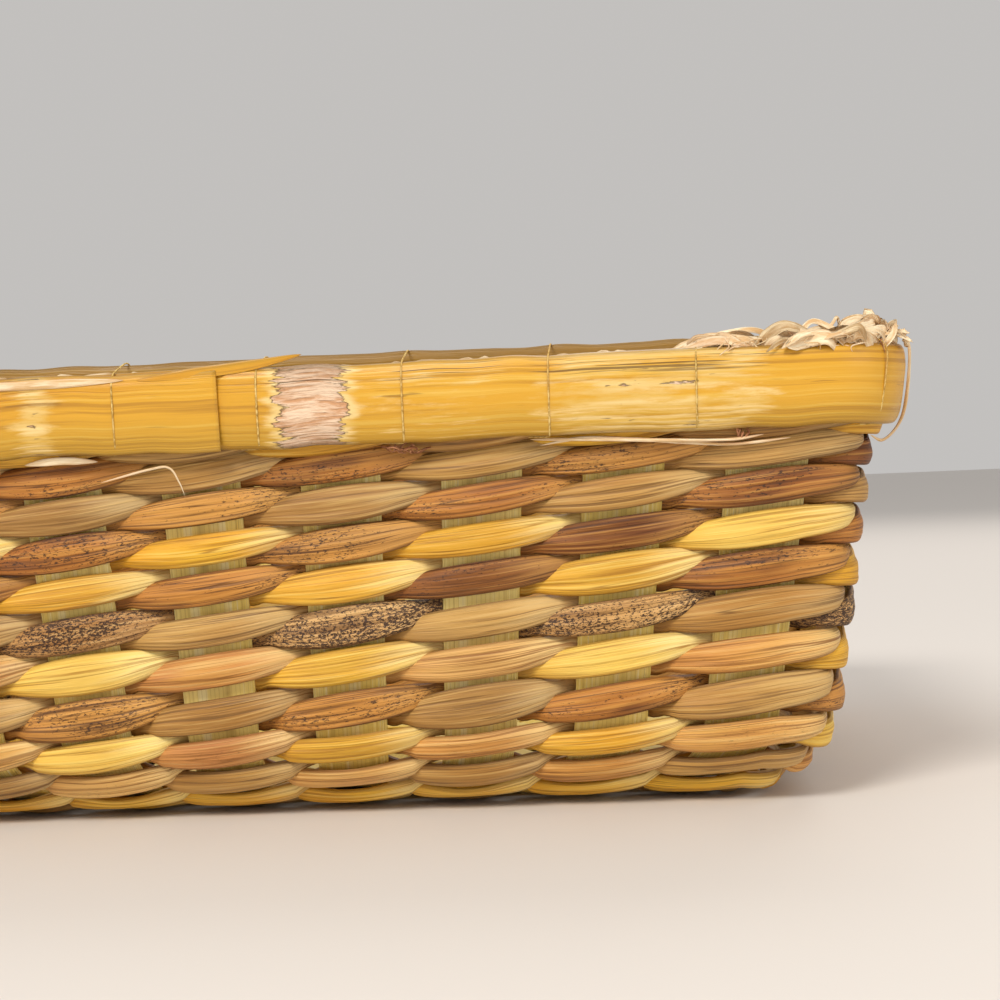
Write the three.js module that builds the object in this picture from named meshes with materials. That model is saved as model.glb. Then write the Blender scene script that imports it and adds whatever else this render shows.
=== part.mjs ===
// A small rectangular winnowing basket with rounded corners, twined from flattened leaf strands.
// Flat reed slats cross in the base and turn up as the stakes of the four walls. Pairs of strands are
// twined round the stakes row by row, and two split stems clamp the top edge and are sewn on with thread.
// Millimetres, +Z up. The origin is under the middle of the base, and the long side runs along X.
import * as THREE from "three";

// Slats: the flat stakes, and the strips that close the base between them.
const slatCounts = [8, 6]; // on each long wall, on each end wall
const basePitch = 26; // between slat centres on the base
const slatWidthBase = 16;
const slatWidthTop = 19;
const slatThickness = 1.2;
const slatTop = 105.5; // how far up the wall a slat reaches, measured along it from the base's edge
const fillerWidth = 9.2;
const weaveLift = slatThickness + 0.35; // a long slat passes this far above or below a cross slat
const weaveLead = 0.4; // and has reached that height this far before the cross slat's edge
const levelMargin = 4.1; // a long slat lies level again this far inside the base's edge
const fillerTail = 1.3; // a filler's end runs on level this far past the last cross slat

// The bend from the base into the wall.
const bendRadius = 21;
const wallAngle = THREE.MathUtils.degToRad(82); // the walls lean outwards by 8 degrees
const bendLength = bendRadius * wallAngle;
const bendSteps = 6;
const cornerRadiusBase = 5.5;
const cornerRadiusWall = 11;
const slatToCorner = 0.5; // from the last slat's edge to the start of the corner

// Twined rows: two strands each, one passing outside a slat where the other passes inside.
const rowPitch = 10.1; // above the lowest row on the wall
const rowPitchLoss = 0.27; // each row above is beaten this much closer to the next
const rowPitchBend = 8; // in the bend, where the rows are lower
const rowsInBend = 3; // above the first row
const rowsOnWall = 8;
const lashingRoom = 1.2; // the last row is set this much higher, so that thread passes below it
const strandThickness = 1.8;
const strandBulge = 4.3; // from the slat's middle to the strand's, where the strand passes outside
const strandBulgeInBend = 6.2; // the same on the inner side of the bend
const rowGap = 0.4; // between the strands of neighbouring rows, and half of it above and below
const crossingGap = 1.45; // half the height left free where the two strands of a row cross
const crossingGapInBend = 1.2;
const crossingTrim = 0.2; // a strand reaches this much less far up or down at its crossing
const crossingTrimInBend = 1;
const firstRowBulge = 4.4; // the first row is flat under the base's edge, and the basket stands on it
const cornerEdgeBulge = 2.6; // over the edge of a slat beside a corner
const cornerEdgeShare = 0.45; // and there a strand is this share of the way to its crossing
const slatEdgeMargin = 0.3; // from a slat's edge to the place where a strand turns in

// The rim: an outer and an inner split stem, the packing between them, and the sewing thread.
const rimBottom = 94.9; // along the wall, as slatTop is
const rimHeight = 18.2;
const rimInnerFace = 5.5; // from the slat's middle to the stem's flat face
const stemThickness = 4.2;
const innerStemRise = 1.1; // the inner stem stands a little higher than the outer one
const stemProfile = [
  // share of the height, share of the thickness
  [0, 0.56],
  [0.2, 0.92],
  [0.5, 1],
  [0.8, 0.92],
  [1, 0.56],
];
const spliceLength = 40;
const splicePlace = -8; // where the outer stem's end lies, from the middle of the front wall
const spliceGap = 0.4;
const spliceUnder = { tip: 0.13, end: 0.73 }; // thickness left on the end that lies underneath
const spliceOver = { start: 0.28, tip: 0.88 }; // thickness pared off the end that lies over it
const packingHalfWidth = 5.1;
const packingLift = 0.5; // above the slats' ends
const packingRise = 0.8; // above the outer stem
const packingShoulder = 2.5;
const packingEndGap = 0.3; // from the middle of an end wall to each packing's end
const threadWidth = 0.8;
const threadTurn = 0.7; // half the thread's advance along the rim in one turn
const threadClearance = 0.7; // from a stem's round face to the thread's middle
const threadBelow = 0.8; // the thread passes this far below the stems
const threadAbove = 1.5; // and this far above them
const threadRounding = 3.1; // it leaves a stem's face this far from its top and bottom
const threadLowTuck = 0.9; // and is this much nearer the wall below a stem
const threadTopTuck = 2.4; // and this much nearer above it

const baseHeight = firstRowBulge + strandThickness / 2; // the slats' middle on the base
const halfSpan = slatCounts.map((count) => ((count - 1) / 2) * basePitch); // to the last slat's centre
const baseHalf = halfSpan.map((span) => {
  return span + slatWidthBase / 2 + slatToCorner + cornerRadiusBase;
});

const finishes = {
  slat: { color: 0xdccf78, roughness: 0.6 },
  yellowLeaf: { color: 0xdcb64a, roughness: 0.6 },
  greyLeaf: { color: 0xb99a66, roughness: 0.65 },
  tanLeaf: { color: 0xc79556, roughness: 0.65 },
  brownLeaf: { color: 0x8a5528, roughness: 0.65 },
  speckledLeaf: { color: 0xa27a4e, roughness: 0.7 },
  stem: { color: 0xd9a035, roughness: 0.45 },
  packing: { color: 0xe4cfa8, roughness: 0.85 },
  thread: { color: 0xdcc592, roughness: 0.7 },
};

// The leaves of each row's two strands, from the first row up.
const leavesOfRow = [
  ["yellowLeaf", "greyLeaf"],
  ["yellowLeaf", "yellowLeaf"],
  ["tanLeaf", "greyLeaf"],
  ["tanLeaf", "yellowLeaf"],
  ["brownLeaf", "greyLeaf"],
  ["tanLeaf", "yellowLeaf"],
  ["speckledLeaf", "greyLeaf"],
  ["brownLeaf", "yellowLeaf"],
  ["brownLeaf", "yellowLeaf"],
  ["brownLeaf", "greyLeaf"],
  ["brownLeaf", "greyLeaf"],
  ["greyLeaf", "yellowLeaf"],
];

const basket = new THREE.Group();

function addPiece(name, geometry, finish) {
  const material = new THREE.MeshStandardMaterial({ ...finishes[finish], metalness: 0 });
  const mesh = new THREE.Mesh(geometry, material);
  mesh.name = name;
  basket.add(mesh);
}

// A closed body through a list of sections, each the same number of points in the same order.
// A ring joins its last section to its first, and any other body gets flat ends.
function loft(sections, isRing) {
  const size = sections[0].length;
  const positions = sections.flatMap((section) => section.flatMap((p) => [p.x, p.y, p.z]));
  const faces = [];
  const spans = isRing ? sections.length : sections.length - 1;
  for (let i = 0; i < spans; i++) {
    const here = i * size;
    const next = ((i + 1) % sections.length) * size;
    for (let k = 0; k < size; k++) {
      const m = (k + 1) % size;
      faces.push([here + k, here + m, next + m], [here + k, next + m, next + k]);
    }
  }
  if (!isRing) {
    const last = (sections.length - 1) * size;
    for (let k = 0; k < size / 2 - 1; k++) {
      const opposite = size - 1 - k;
      for (const [a, b, c] of [[k, k + 1, opposite], [k + 1, opposite - 1, opposite]]) {
        faces.push([a, c, b], [last + a, last + b, last + c]);
      }
    }
  }
  const geometry = new THREE.BufferGeometry();
  geometry.setAttribute("position", new THREE.Float32BufferAttribute(positions, 3));
  const volume = signedVolume(positions, faces);
  geometry.setIndex(faces.flatMap((face) => (volume < 0 ? face.reverse() : face)));
  geometry.computeVertexNormals();
  return geometry;
}

// Six times the volume inside the faces, negative where they point inwards.
function signedVolume(positions, faces) {
  const corner = (i) => new THREE.Vector3().fromArray(positions, i * 3);
  return faces.reduce((sum, [a, b, c]) => sum + corner(a).dot(corner(b).cross(corner(c))), 0);
}

// The wall's section at a distance along the slat from the base's edge: how far out and how high it is,
// and the angle that it makes with the floor.
function wallAt(distance) {
  const angle = THREE.MathUtils.clamp(distance / bendRadius, 0, wallAngle);
  const beyond = Math.max(distance - bendLength, 0);
  const onBase = Math.min(distance, 0);
  return {
    out: onBase + bendRadius * Math.sin(angle) + beyond * Math.cos(wallAngle),
    z: baseHeight + bendRadius * (1 - Math.cos(angle)) + beyond * Math.sin(wallAngle),
    angle,
  };
}

function cornerRadiusAt(distance) {
  const share = Math.sin(wallAt(distance).angle) / Math.sin(wallAngle);
  return cornerRadiusBase + (cornerRadiusWall - cornerRadiusBase) * share;
}

// From the middle of a wall to the end of its straight part. Walls are numbered from the front one,
// anticlockwise from above, so an odd number is an end wall.
function straightHalf(wall, distance) {
  return baseHalf[wall % 2] + wallAt(distance).out - cornerRadiusAt(distance);
}

// Half a slat's width, which grows up the wall.
function slatHalf(distance) {
  const share = Math.max(distance, 0) / slatTop;
  return THREE.MathUtils.lerp(slatWidthBase, slatWidthTop, share) / 2;
}

function slatAcross(wall, slat, distance) {
  const last = straightHalf(wall, distance) - slatToCorner - slatHalf(distance);
  const middle = (slatCounts[wall % 2] - 1) / 2;
  return (last * (slat - middle)) / middle;
}

// A place is { wall, across } on the straight part of a wall, or { wall, turn } on the corner after it,
// with sideways for an offset along the wall there. bulge is the offset out of the wall, and rise the
// offset up along it.
function spot(place, distance, bulge, rise = 0) {
  const section = wallAt(distance);
  const radius = cornerRadiusAt(distance);
  const turnOfWall = (place.wall * Math.PI) / 2;
  const outwards = new THREE.Vector2(0, -1).rotateAround(new THREE.Vector2(), turnOfWall);
  const along = new THREE.Vector2(1, 0).rotateAround(new THREE.Vector2(), turnOfWall);
  const depth = baseHalf[(place.wall + 1) % 2] + section.out;
  const plan = new THREE.Vector2();
  let facing = outwards;
  if (place.turn === undefined) {
    plan.addScaledVector(outwards, depth).addScaledVector(along, place.across);
  } else {
    facing = outwards.clone().rotateAround(new THREE.Vector2(), place.turn);
    plan.addScaledVector(outwards, depth - radius);
    plan.addScaledVector(along, straightHalf(place.wall, distance));
    plan.addScaledVector(facing, radius);
    plan.addScaledVector(along.rotateAround(new THREE.Vector2(), place.turn), place.sideways ?? 0);
  }
  plan.addScaledVector(facing, bulge * Math.sin(section.angle) + rise * Math.cos(section.angle));
  const z = section.z - bulge * Math.cos(section.angle) + rise * Math.sin(section.angle);
  return new THREE.Vector3(plan.x, plan.y, z);
}

// ---- Slats and the strips between them ----

// Four corners of a flat strip's section, standing across the given wall.
function slatSection(wall, slat, distance) {
  const across = slatAcross(wall, slat, distance);
  const half = slatHalf(distance);
  const thick = slatThickness / 2;
  return [
    spot({ wall, across: across - half }, distance, -thick),
    spot({ wall, across: across + half }, distance, -thick),
    spot({ wall, across: across + half }, distance, thick),
    spot({ wall, across: across - half }, distance, thick),
  ];
}

// The sections of a slat up one wall, from the base's edge to its top.
function slatUpWall(wall, slat) {
  const sections = [];
  for (let step = 0; step <= bendSteps; step++) {
    sections.push(slatSection(wall, slat, (bendLength * step) / bendSteps));
  }
  sections.push(slatSection(wall, slat, slatTop));
  return sections;
}

// The far end of the same slat has its corners the other way round.
function slatDownWall(wall, slat) {
  return slatUpWall(wall, slat)
    .reverse()
    .map(([a, b, c, d]) => [b, a, d, c]);
}

// A strip along X on the base, passing over and under the cross slats by turns. It lies level again at
// reach from the middle, and a strip without a reach ends past the last cross slat.
function wovenStrip(y, width, firstIsOver, reach) {
  const sections = [];
  const addSection = (x, lift) => {
    const z = baseHeight + lift;
    sections.push([
      new THREE.Vector3(x, y - width / 2, z + slatThickness / 2),
      new THREE.Vector3(x, y + width / 2, z + slatThickness / 2),
      new THREE.Vector3(x, y + width / 2, z - slatThickness / 2),
      new THREE.Vector3(x, y - width / 2, z - slatThickness / 2),
    ]);
  };
  const pastEdge = slatWidthBase / 2 + weaveLead;
  const tail = reach > 0 ? 0 : fillerTail;
  const crossings = slatCounts[0];
  if (reach > 0) addSection(-reach, 0);
  for (let slat = 0; slat < crossings; slat++) {
    const x = slatAcross(0, slat, 0);
    const lift = (slat % 2 === 0) === firstIsOver ? weaveLift : -weaveLift;
    const isFirst = slat === 0;
    const isLast = slat === crossings - 1;
    addSection(x - pastEdge - (isFirst ? tail : 0), lift);
    addSection(x + pastEdge + (isLast ? tail : 0), lift);
  }
  if (reach > 0) addSection(reach, 0);
  return sections;
}

// Cross slats lie straight on the base. Walls 2 and 0 are at the back and the front.
for (let slat = 0; slat < slatCounts[0]; slat++) {
  const opposite = slatCounts[0] - 1 - slat;
  const sections = [...slatDownWall(2, opposite), ...slatUpWall(0, slat)];
  addPiece(`cross_slat_${slat + 1}`, loft(sections, false), "slat");
}

// Long slats weave through the cross slats, level again before the first row. Walls 3 and 1 are the ends.
const levelAgain = baseHalf[0] - levelMargin;
for (let slat = 0; slat < slatCounts[1]; slat++) {
  const y = slatAcross(1, slat, 0);
  const opposite = slatCounts[1] - 1 - slat;
  const onBase = wovenStrip(y, slatWidthBase, slat % 2 === 0, levelAgain);
  const sections = [...slatDownWall(3, opposite), ...onBase, ...slatUpWall(1, slat)];
  addPiece(`long_slat_${slat + 1}`, loft(sections, false), "slat");
}

for (let gap = 0; gap < slatCounts[1] - 1; gap++) {
  const y = (slatAcross(1, gap, 0) + slatAcross(1, gap + 1, 0)) / 2;
  const geometry = loft(wovenStrip(y, fillerWidth, gap % 2 === 1, 0), false);
  addPiece(`base_filler_${gap + 1}`, geometry, "slat");
}

// ---- Twined rows ----

// Each row's place and shape, from the base's edge up.
function describeRow(row) {
  const isInBend = row <= rowsInBend;
  const onWall = row - rowsInBend - 1;
  const pitch = isInBend ? rowPitchBend : rowPitch - rowPitchLoss * onWall;
  const firstOnWall = rowsInBend * rowPitchBend + (rowPitchBend + rowPitch) / 2;
  const climbed = onWall * rowPitch - (rowPitchLoss * onWall * (onWall - 1)) / 2;
  const isLast = onWall === rowsOnWall - 1;
  const distance = isInBend ? row * rowPitchBend : firstOnWall + climbed;
  const half = (pitch - rowGap) / 2;
  const nearBend = distance < bendLength + rowPitch / 2;
  const innerBulge = nearBend ? strandBulgeInBend : strandBulge;
  return {
    distance: distance + (isLast ? lashingRoom : 0),
    half,
    innerBulge,
    // Strands crowd together on the inner side of the bend.
    innerHalf: nearBend ? half * (1 - (innerBulge + strandThickness / 2) / bendRadius) : half,
    crossingHalf: half - (nearBend ? crossingTrimInBend : crossingTrim),
    crossingGap: nearBend ? crossingGapInBend : crossingGap,
    isFirst: row === 0,
    isFlat: row < 2, // over each slat, where the slats spread fastest
  };
}

function strandSection(place, distance, bulge, low, high) {
  const thick = strandThickness / 2;
  return [
    spot(place, distance, bulge - thick, low),
    spot(place, distance, bulge + thick, low),
    spot(place, distance, bulge + thick, high),
    spot(place, distance, bulge - thick, high),
  ];
}

// One strand of a row, once round the basket. Seen from outside it rises to the right as it passes over
// a slat, goes in through the upper half of the next gap and comes out again through a lower half.
function strandSections(row, strand) {
  const shape = describeRow(row);
  const { distance, half } = shape;
  const sections = [];
  let passed = row + strand;
  for (let wall = 0; wall < 4; wall++) {
    const count = slatCounts[wall % 2];
    for (let slat = 0; slat < count; slat++) {
      const isOutside = passed % 2 === 0;
      const across = slatAcross(wall, slat, distance);
      const outerBulge = shape.isFirst ? firstRowBulge : strandBulge;
      const bulge = isOutside ? outerBulge : -shape.innerBulge;
      const reach = isOutside ? half : shape.innerHalf;
      const edge = slatHalf(distance) + slatEdgeMargin;
      const towards = (from, to) => from + (to - from) * cornerEdgeShare;
      const midLow = towards(-half, shape.crossingGap);
      const midHigh = towards(half, -shape.crossingGap);
      if (shape.isFlat) {
        const before = { wall, across: across - edge };
        const after = { wall, across: across + edge };
        sections.push(strandSection(before, distance, bulge, -reach, reach));
        sections.push(strandSection(after, distance, bulge, -reach, reach));
      } else {
        if (isOutside && slat === 0) {
          const before = { wall, across: across - edge };
          sections.push(strandSection(before, distance, cornerEdgeBulge, -half, midHigh));
        }
        sections.push(strandSection({ wall, across }, distance, bulge, -reach, reach));
        if (isOutside && slat === count - 1) {
          const after = { wall, across: across + edge };
          sections.push(strandSection(after, distance, cornerEdgeBulge, midLow, half));
        }
      }
      const isCorner = slat === count - 1;
      const gapMiddle = isCorner ? 0 : (across + slatAcross(wall, slat + 1, distance)) / 2;
      const gap = isCorner ? { wall, turn: Math.PI / 4 } : { wall, across: gapMiddle };
      const [low, high] = isOutside
        ? [shape.crossingGap, shape.crossingHalf]
        : [-shape.crossingHalf, -shape.crossingGap];
      sections.push(strandSection(gap, distance, 0, low, high));
      passed++;
    }
  }
  return sections;
}

leavesOfRow.forEach((leaves, row) => {
  const label = String(row + 1).padStart(2, "0");
  leaves.forEach((leaf, strand) => {
    const name = `weft_${label}_strand_${strand === 0 ? "a" : "b"}`;
    addPiece(name, loft(strandSections(row, strand), true), leaf);
  });
});

// ---- Rim ----

// The places that a rim piece passes: along one wall from across, round the next two corners, and along
// the wall after the next up to the same distance from its middle.
const cornerSteps = 4;
function halfWayRound(wall, fromAcross, toAcross) {
  const places = [{ wall, across: fromAcross }];
  for (const corner of [wall, wall + 1]) {
    for (let step = 0; step <= cornerSteps; step++) {
      places.push({ wall: corner % 4, turn: ((Math.PI / 2) * step) / cornerSteps });
    }
  }
  places.push({ wall: (wall + 2) % 4, across: toAcross });
  return places;
}

// A split stem is D-shaped: flat towards the slats and round on its outer side. from and to are the
// shares of its thickness where its inner and outer faces lie, which a splice pares down.
function stemSection(place, side, from, to) {
  const height = rimHeight + (side < 0 ? innerStemRise : 0);
  const faceAt = (pared) => {
    return stemProfile.map(([up, thickness]) => {
      const bulge = side * (rimInnerFace + stemThickness * thickness * pared);
      return spot(place, rimBottom + height * up, bulge);
    });
  };
  return [...faceAt(from), ...faceAt(to).reverse()];
}

// Each stem starts pared thin against the slats, and its other end is pared to lie over the next stem.
function stemSections(wall, side, end) {
  const places = halfWayRound(wall, end + spliceGap, end - spliceLength - spliceGap);
  const sections = places.map((place) => stemSection(place, side, 0, 1));
  const under = { wall, across: end - spliceLength };
  const over = (wall + 2) % 4;
  return [
    stemSection(under, side, 0, spliceUnder.tip),
    stemSection({ wall, across: end }, side, 0, spliceUnder.end),
    ...sections,
    stemSection({ wall: over, across: end - spliceLength }, side, spliceOver.start, 1),
    stemSection({ wall: over, across: end }, side, spliceOver.tip, 1),
  ];
}

const stems = [
  ["rim_outer_stem_right", 0, 1, splicePlace],
  ["rim_outer_stem_left", 2, 1, splicePlace],
  ["rim_inner_stem_back", 1, -1, splicePlace],
  ["rim_inner_stem_front", 3, -1, splicePlace],
];
stems.forEach(([name, wall, side, end], i) => {
  const sections = stemSections(wall, side, end);
  // Each second stem is listed the other way round, so that both faces of a splice get the same triangles.
  if (i % 2 === 1) sections.forEach((section) => section.reverse());
  addPiece(name, loft(sections, false), "stem");
});

// The packing closes the gap between the stems, on top of the slats.
function packingSection(place) {
  const low = slatTop + packingLift;
  const high = rimBottom + rimHeight + packingRise;
  const outline = [
    [-packingHalfWidth, low],
    [packingHalfWidth, low],
    [packingHalfWidth, high - packingShoulder],
    [packingHalfWidth / 2, high],
    [-packingHalfWidth / 2, high],
    [-packingHalfWidth, high - packingShoulder],
  ];
  return outline.map(([bulge, distance]) => spot(place, distance, bulge));
}

for (const [name, wall] of [["rim_packing_front", 3], ["rim_packing_back", 1]]) {
  const places = halfWayRound(wall, packingEndGap, -packingEndGap);
  addPiece(name, loft(places.map(packingSection), false), "packing");
}

// The sewing thread goes once round both stems in every gap between slats, passing through the wall
// below the last row, and runs on to the next gap under the inner stem.
function threadPath() {
  const low = rimBottom - threadBelow;
  const outerTop = rimBottom + rimHeight;
  const innerTop = outerTop + innerStemRise;
  const face = rimInnerFace + stemThickness + threadClearance;
  const lowFace = face - threadLowTuck;
  const topFace = face - threadTopTuck;
  const turn = [
    // distance and bulge
    [low, -lowFace],
    [low, lowFace],
    [rimBottom + threadRounding, face],
    [outerTop - threadRounding, face],
    [outerTop + threadAbove, topFace],
    [innerTop + threadAbove, -topFace],
    [innerTop - threadRounding, -face],
    [rimBottom + threadRounding, -face],
    [low, -lowFace],
  ];
  const path = [];
  for (let wall = 0; wall < 4; wall++) {
    const count = slatCounts[wall % 2];
    for (let gap = 0; gap < count; gap++) {
      turn.forEach(([distance, bulge], i) => {
        const shift = threadTurn * ((2 * i) / (turn.length - 1) - 1);
        let place = { wall, turn: Math.PI / 4, sideways: shift };
        if (gap < count - 1) {
          const middle = (slatAcross(wall, gap, low) + slatAcross(wall, gap + 1, low)) / 2;
          place = { wall, across: middle + shift };
        }
        path.push(spot(place, distance, bulge));
      });
    }
  }
  return path;
}

// Three-sided sections along a closed path. Each section's first direction is carried on from the last
// one's, and what it has turned by at the end is spread along the whole path.
function threadSections(path) {
  const sides = 3;
  const at = (i) => path[(i + path.length) % path.length];
  const ways = path.map((point, i) => {
    const before = point.clone().sub(at(i - 1)).normalize();
    return at(i + 1).clone().sub(point).normalize().add(before).normalize();
  });
  const carried = [new THREE.Vector3(0, 0, 1).cross(ways[0]).normalize()];
  for (let i = 1; i <= path.length; i++) {
    const way = ways[i % path.length];
    carried.push(carried[i - 1].clone().projectOnPlane(way).normalize());
  }
  const last = carried.pop();
  const turned = Math.atan2(carried[0].clone().cross(last).dot(ways[0]), carried[0].dot(last));
  return path.map((point, i) => {
    const start = (-turned * i) / path.length;
    return Array.from({ length: sides }, (_, side) => {
      const angle = start + (side * 2 * Math.PI) / sides;
      const offset = carried[i].clone().applyAxisAngle(ways[i], angle);
      return point.clone().addScaledVector(offset, threadWidth / 2);
    });
  });
}

addPiece("rim_sewing_thread", loft(threadSections(threadPath()), true), "thread");

export default basket;
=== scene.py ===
import math
import random

import bmesh
import bpy
from mathutils import Matrix, Vector


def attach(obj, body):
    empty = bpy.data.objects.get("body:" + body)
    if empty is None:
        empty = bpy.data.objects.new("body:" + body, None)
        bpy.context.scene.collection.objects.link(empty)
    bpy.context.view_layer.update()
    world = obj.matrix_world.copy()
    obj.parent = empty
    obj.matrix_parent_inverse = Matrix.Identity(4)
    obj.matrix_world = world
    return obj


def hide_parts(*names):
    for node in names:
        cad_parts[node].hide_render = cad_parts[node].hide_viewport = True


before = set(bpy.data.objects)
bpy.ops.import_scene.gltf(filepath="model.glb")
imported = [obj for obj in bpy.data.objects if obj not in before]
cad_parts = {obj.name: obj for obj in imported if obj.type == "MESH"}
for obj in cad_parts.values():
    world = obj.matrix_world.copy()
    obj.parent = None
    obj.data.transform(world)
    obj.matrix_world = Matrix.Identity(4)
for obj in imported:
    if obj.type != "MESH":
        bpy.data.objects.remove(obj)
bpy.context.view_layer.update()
print("frame loaded")

mm = 0.001
scene = bpy.context.scene
scene.view_settings.view_transform = "Standard"
shown = scene.collection


# Helpers for node trees and materials


# sRGB hex to a linear colour.
def linearColour(hexCode):
    channels = [int(hexCode[i : i + 2], 16) / 255 for i in (0, 2, 4)]
    linear = [c / 12.92 if c <= 0.04045 else ((c + 0.055) / 1.055) ** 2.4 for c in channels]
    return (*linear, 1.0)


# Adds one node. settings holds its properties and its sockets' values, links its inputs' sources.
def addNode(tree, kind, settings=None, links=None):
    node = tree.nodes.new(kind)
    for key, value in (settings or {}).items():
        if isinstance(key, str) and hasattr(node, key):
            setattr(node, key, value)
        else:
            node.inputs[key].default_value = value
    for key, source in (links or {}).items():
        tree.links.new(source, node.inputs[key])
    return node


# A maths node on numbers or sockets, and its result.
def addMath(tree, operation, *values, clamp=False):
    node = tree.nodes.new("ShaderNodeMath")
    node.operation = operation
    node.use_clamp = clamp
    for i, value in enumerate(values):
        if isinstance(value, (int, float)):
            node.inputs[i].default_value = value
        else:
            tree.links.new(value, node.inputs[i])
    return node.outputs[0]


# A vector maths node on vectors or sockets, and its result. scale is a socket.
def addVectorMath(tree, operation, *values, scale=None):
    node = tree.nodes.new("ShaderNodeVectorMath")
    node.operation = operation
    for i, value in enumerate(values):
        if isinstance(value, (tuple, list)):
            node.inputs[i].default_value = value
        else:
            tree.links.new(value, node.inputs[i])
    if scale is not None:
        tree.links.new(scale, node.inputs["Scale"])
    return node.outputs[0]


# The basket's own measures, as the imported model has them, in millimetres

basket = {
    "slatCounts": (8, 6),
    "basePitch": 26,
    "slatWidthBase": 16,
    "slatWidthTop": 19,
    "slatTop": 105.5,
    "bendRadius": 21,
    "wallAngle": math.radians(82),
    "cornerRadiusBase": 5.5,
    "cornerRadiusWall": 11,
    "slatToCorner": 0.5,
    "baseHeight": 5.3,
    "rimBottom": 94.9,
    "rimHeight": 18.2,
    "rimInnerFace": 4.9,
    "stemThickness": 4.2,
    "innerStemRise": 1.1,
    "spliceLength": 40,
    "splicePlace": -8,
}
bendLength = basket["bendRadius"] * basket["wallAngle"]
halfSpan = [(count - 1) / 2 * basket["basePitch"] for count in basket["slatCounts"]]
baseHalf = [
    span + basket["slatWidthBase"] / 2 + basket["slatToCorner"] + basket["cornerRadiusBase"]
    for span in halfSpan
]


# How far out and how high the wall is, and its angle to the floor.
def wallAt(distance):
    angle = min(max(distance / basket["bendRadius"], 0), basket["wallAngle"])
    beyond = max(distance - bendLength, 0)
    out = min(distance, 0) + basket["bendRadius"] * math.sin(angle)
    out += beyond * math.cos(basket["wallAngle"])
    z = basket["baseHeight"] + basket["bendRadius"] * (1 - math.cos(angle))
    z += beyond * math.sin(basket["wallAngle"])
    return out, z, angle


def cornerRadiusAt(distance):
    share = math.sin(wallAt(distance)[2]) / math.sin(basket["wallAngle"])
    growth = basket["cornerRadiusWall"] - basket["cornerRadiusBase"]
    return basket["cornerRadiusBase"] + growth * share


def straightHalf(wall, distance):
    return baseHalf[wall % 2] + wallAt(distance)[0] - cornerRadiusAt(distance)


def slatHalf(distance):
    share = max(distance, 0) / basket["slatTop"]
    width = basket["slatWidthBase"] + (basket["slatWidthTop"] - basket["slatWidthBase"]) * share
    return width / 2


def slatAcross(wall, slat, distance):
    last = straightHalf(wall, distance) - basket["slatToCorner"] - slatHalf(distance)
    middle = (basket["slatCounts"][wall % 2] - 1) / 2
    return last * (slat - middle) / middle


# The wall's point there, and the ways outwards, along and up it.
def frameAt(wall, distance, across=None, turn=None):
    out, z, angle = wallAt(distance)
    wallTurn = wall * math.pi / 2
    outwards = Vector((math.sin(wallTurn), -math.cos(wallTurn), 0))
    along = Vector((math.cos(wallTurn), math.sin(wallTurn), 0))
    depth = baseHalf[(wall + 1) % 2] + out
    if turn is None:
        point = outwards * depth + along * across
        facing, way = outwards, along
    else:
        radius = cornerRadiusAt(distance)
        facing = outwards * math.cos(turn) + along * math.sin(turn)
        way = along * math.cos(turn) - outwards * math.sin(turn)
        point = outwards * (depth - radius) + along * straightHalf(wall, distance)
        point = point + facing * radius
    point = point + Vector((0, 0, z))
    outNormal = facing * math.sin(angle) - Vector((0, 0, math.cos(angle)))
    upWall = facing * math.cos(angle) + Vector((0, 0, math.sin(angle)))
    return point, outNormal, way, upWall


# A point that stands out from the wall's middle by the bulge.
def spotAt(wall, distance, bulge, across=None, turn=None):
    point, outNormal, _, _ = frameAt(wall, distance, across, turn)
    return point + outNormal * bulge


# The place that lies this share of the way from one slat's middle to the next one's.
def ringPlace(slatIndex, share, distance):
    wall = 0
    index = slatIndex % sum(basket["slatCounts"] * 2)
    while index >= basket["slatCounts"][wall % 2]:
        index -= basket["slatCounts"][wall % 2]
        wall += 1
    here = slatAcross(wall, index, distance)
    if index < basket["slatCounts"][wall % 2] - 1:
        there = slatAcross(wall, index + 1, distance)
        return {"wall": wall, "across": here + (there - here) * share}
    straight = straightHalf(wall, distance)
    arc = cornerRadiusAt(distance) * math.pi / 2
    nextWall = (wall + 1) % 4
    after = straightHalf(nextWall, distance) + slatAcross(nextWall, 0, distance)
    travelled = share * (straight - here + arc + after)
    if travelled < straight - here:
        return {"wall": wall, "across": here + travelled}
    travelled -= straight - here
    if travelled < arc:
        return {"wall": wall, "turn": travelled / cornerRadiusAt(distance)}
    return {"wall": nextWall, "across": -straightHalf(nextWall, distance) + travelled - arc}


# The node tree that sweeps a section along a guide.
# A guide is a mesh of loose points. Each point has the ways outwards and across the piece there, the
# section's half width and its thickness on either side, and the length so far. The tree lays a grid
# along the points, wraps it round the section, and lifts it into folds that run along the piece.


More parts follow.
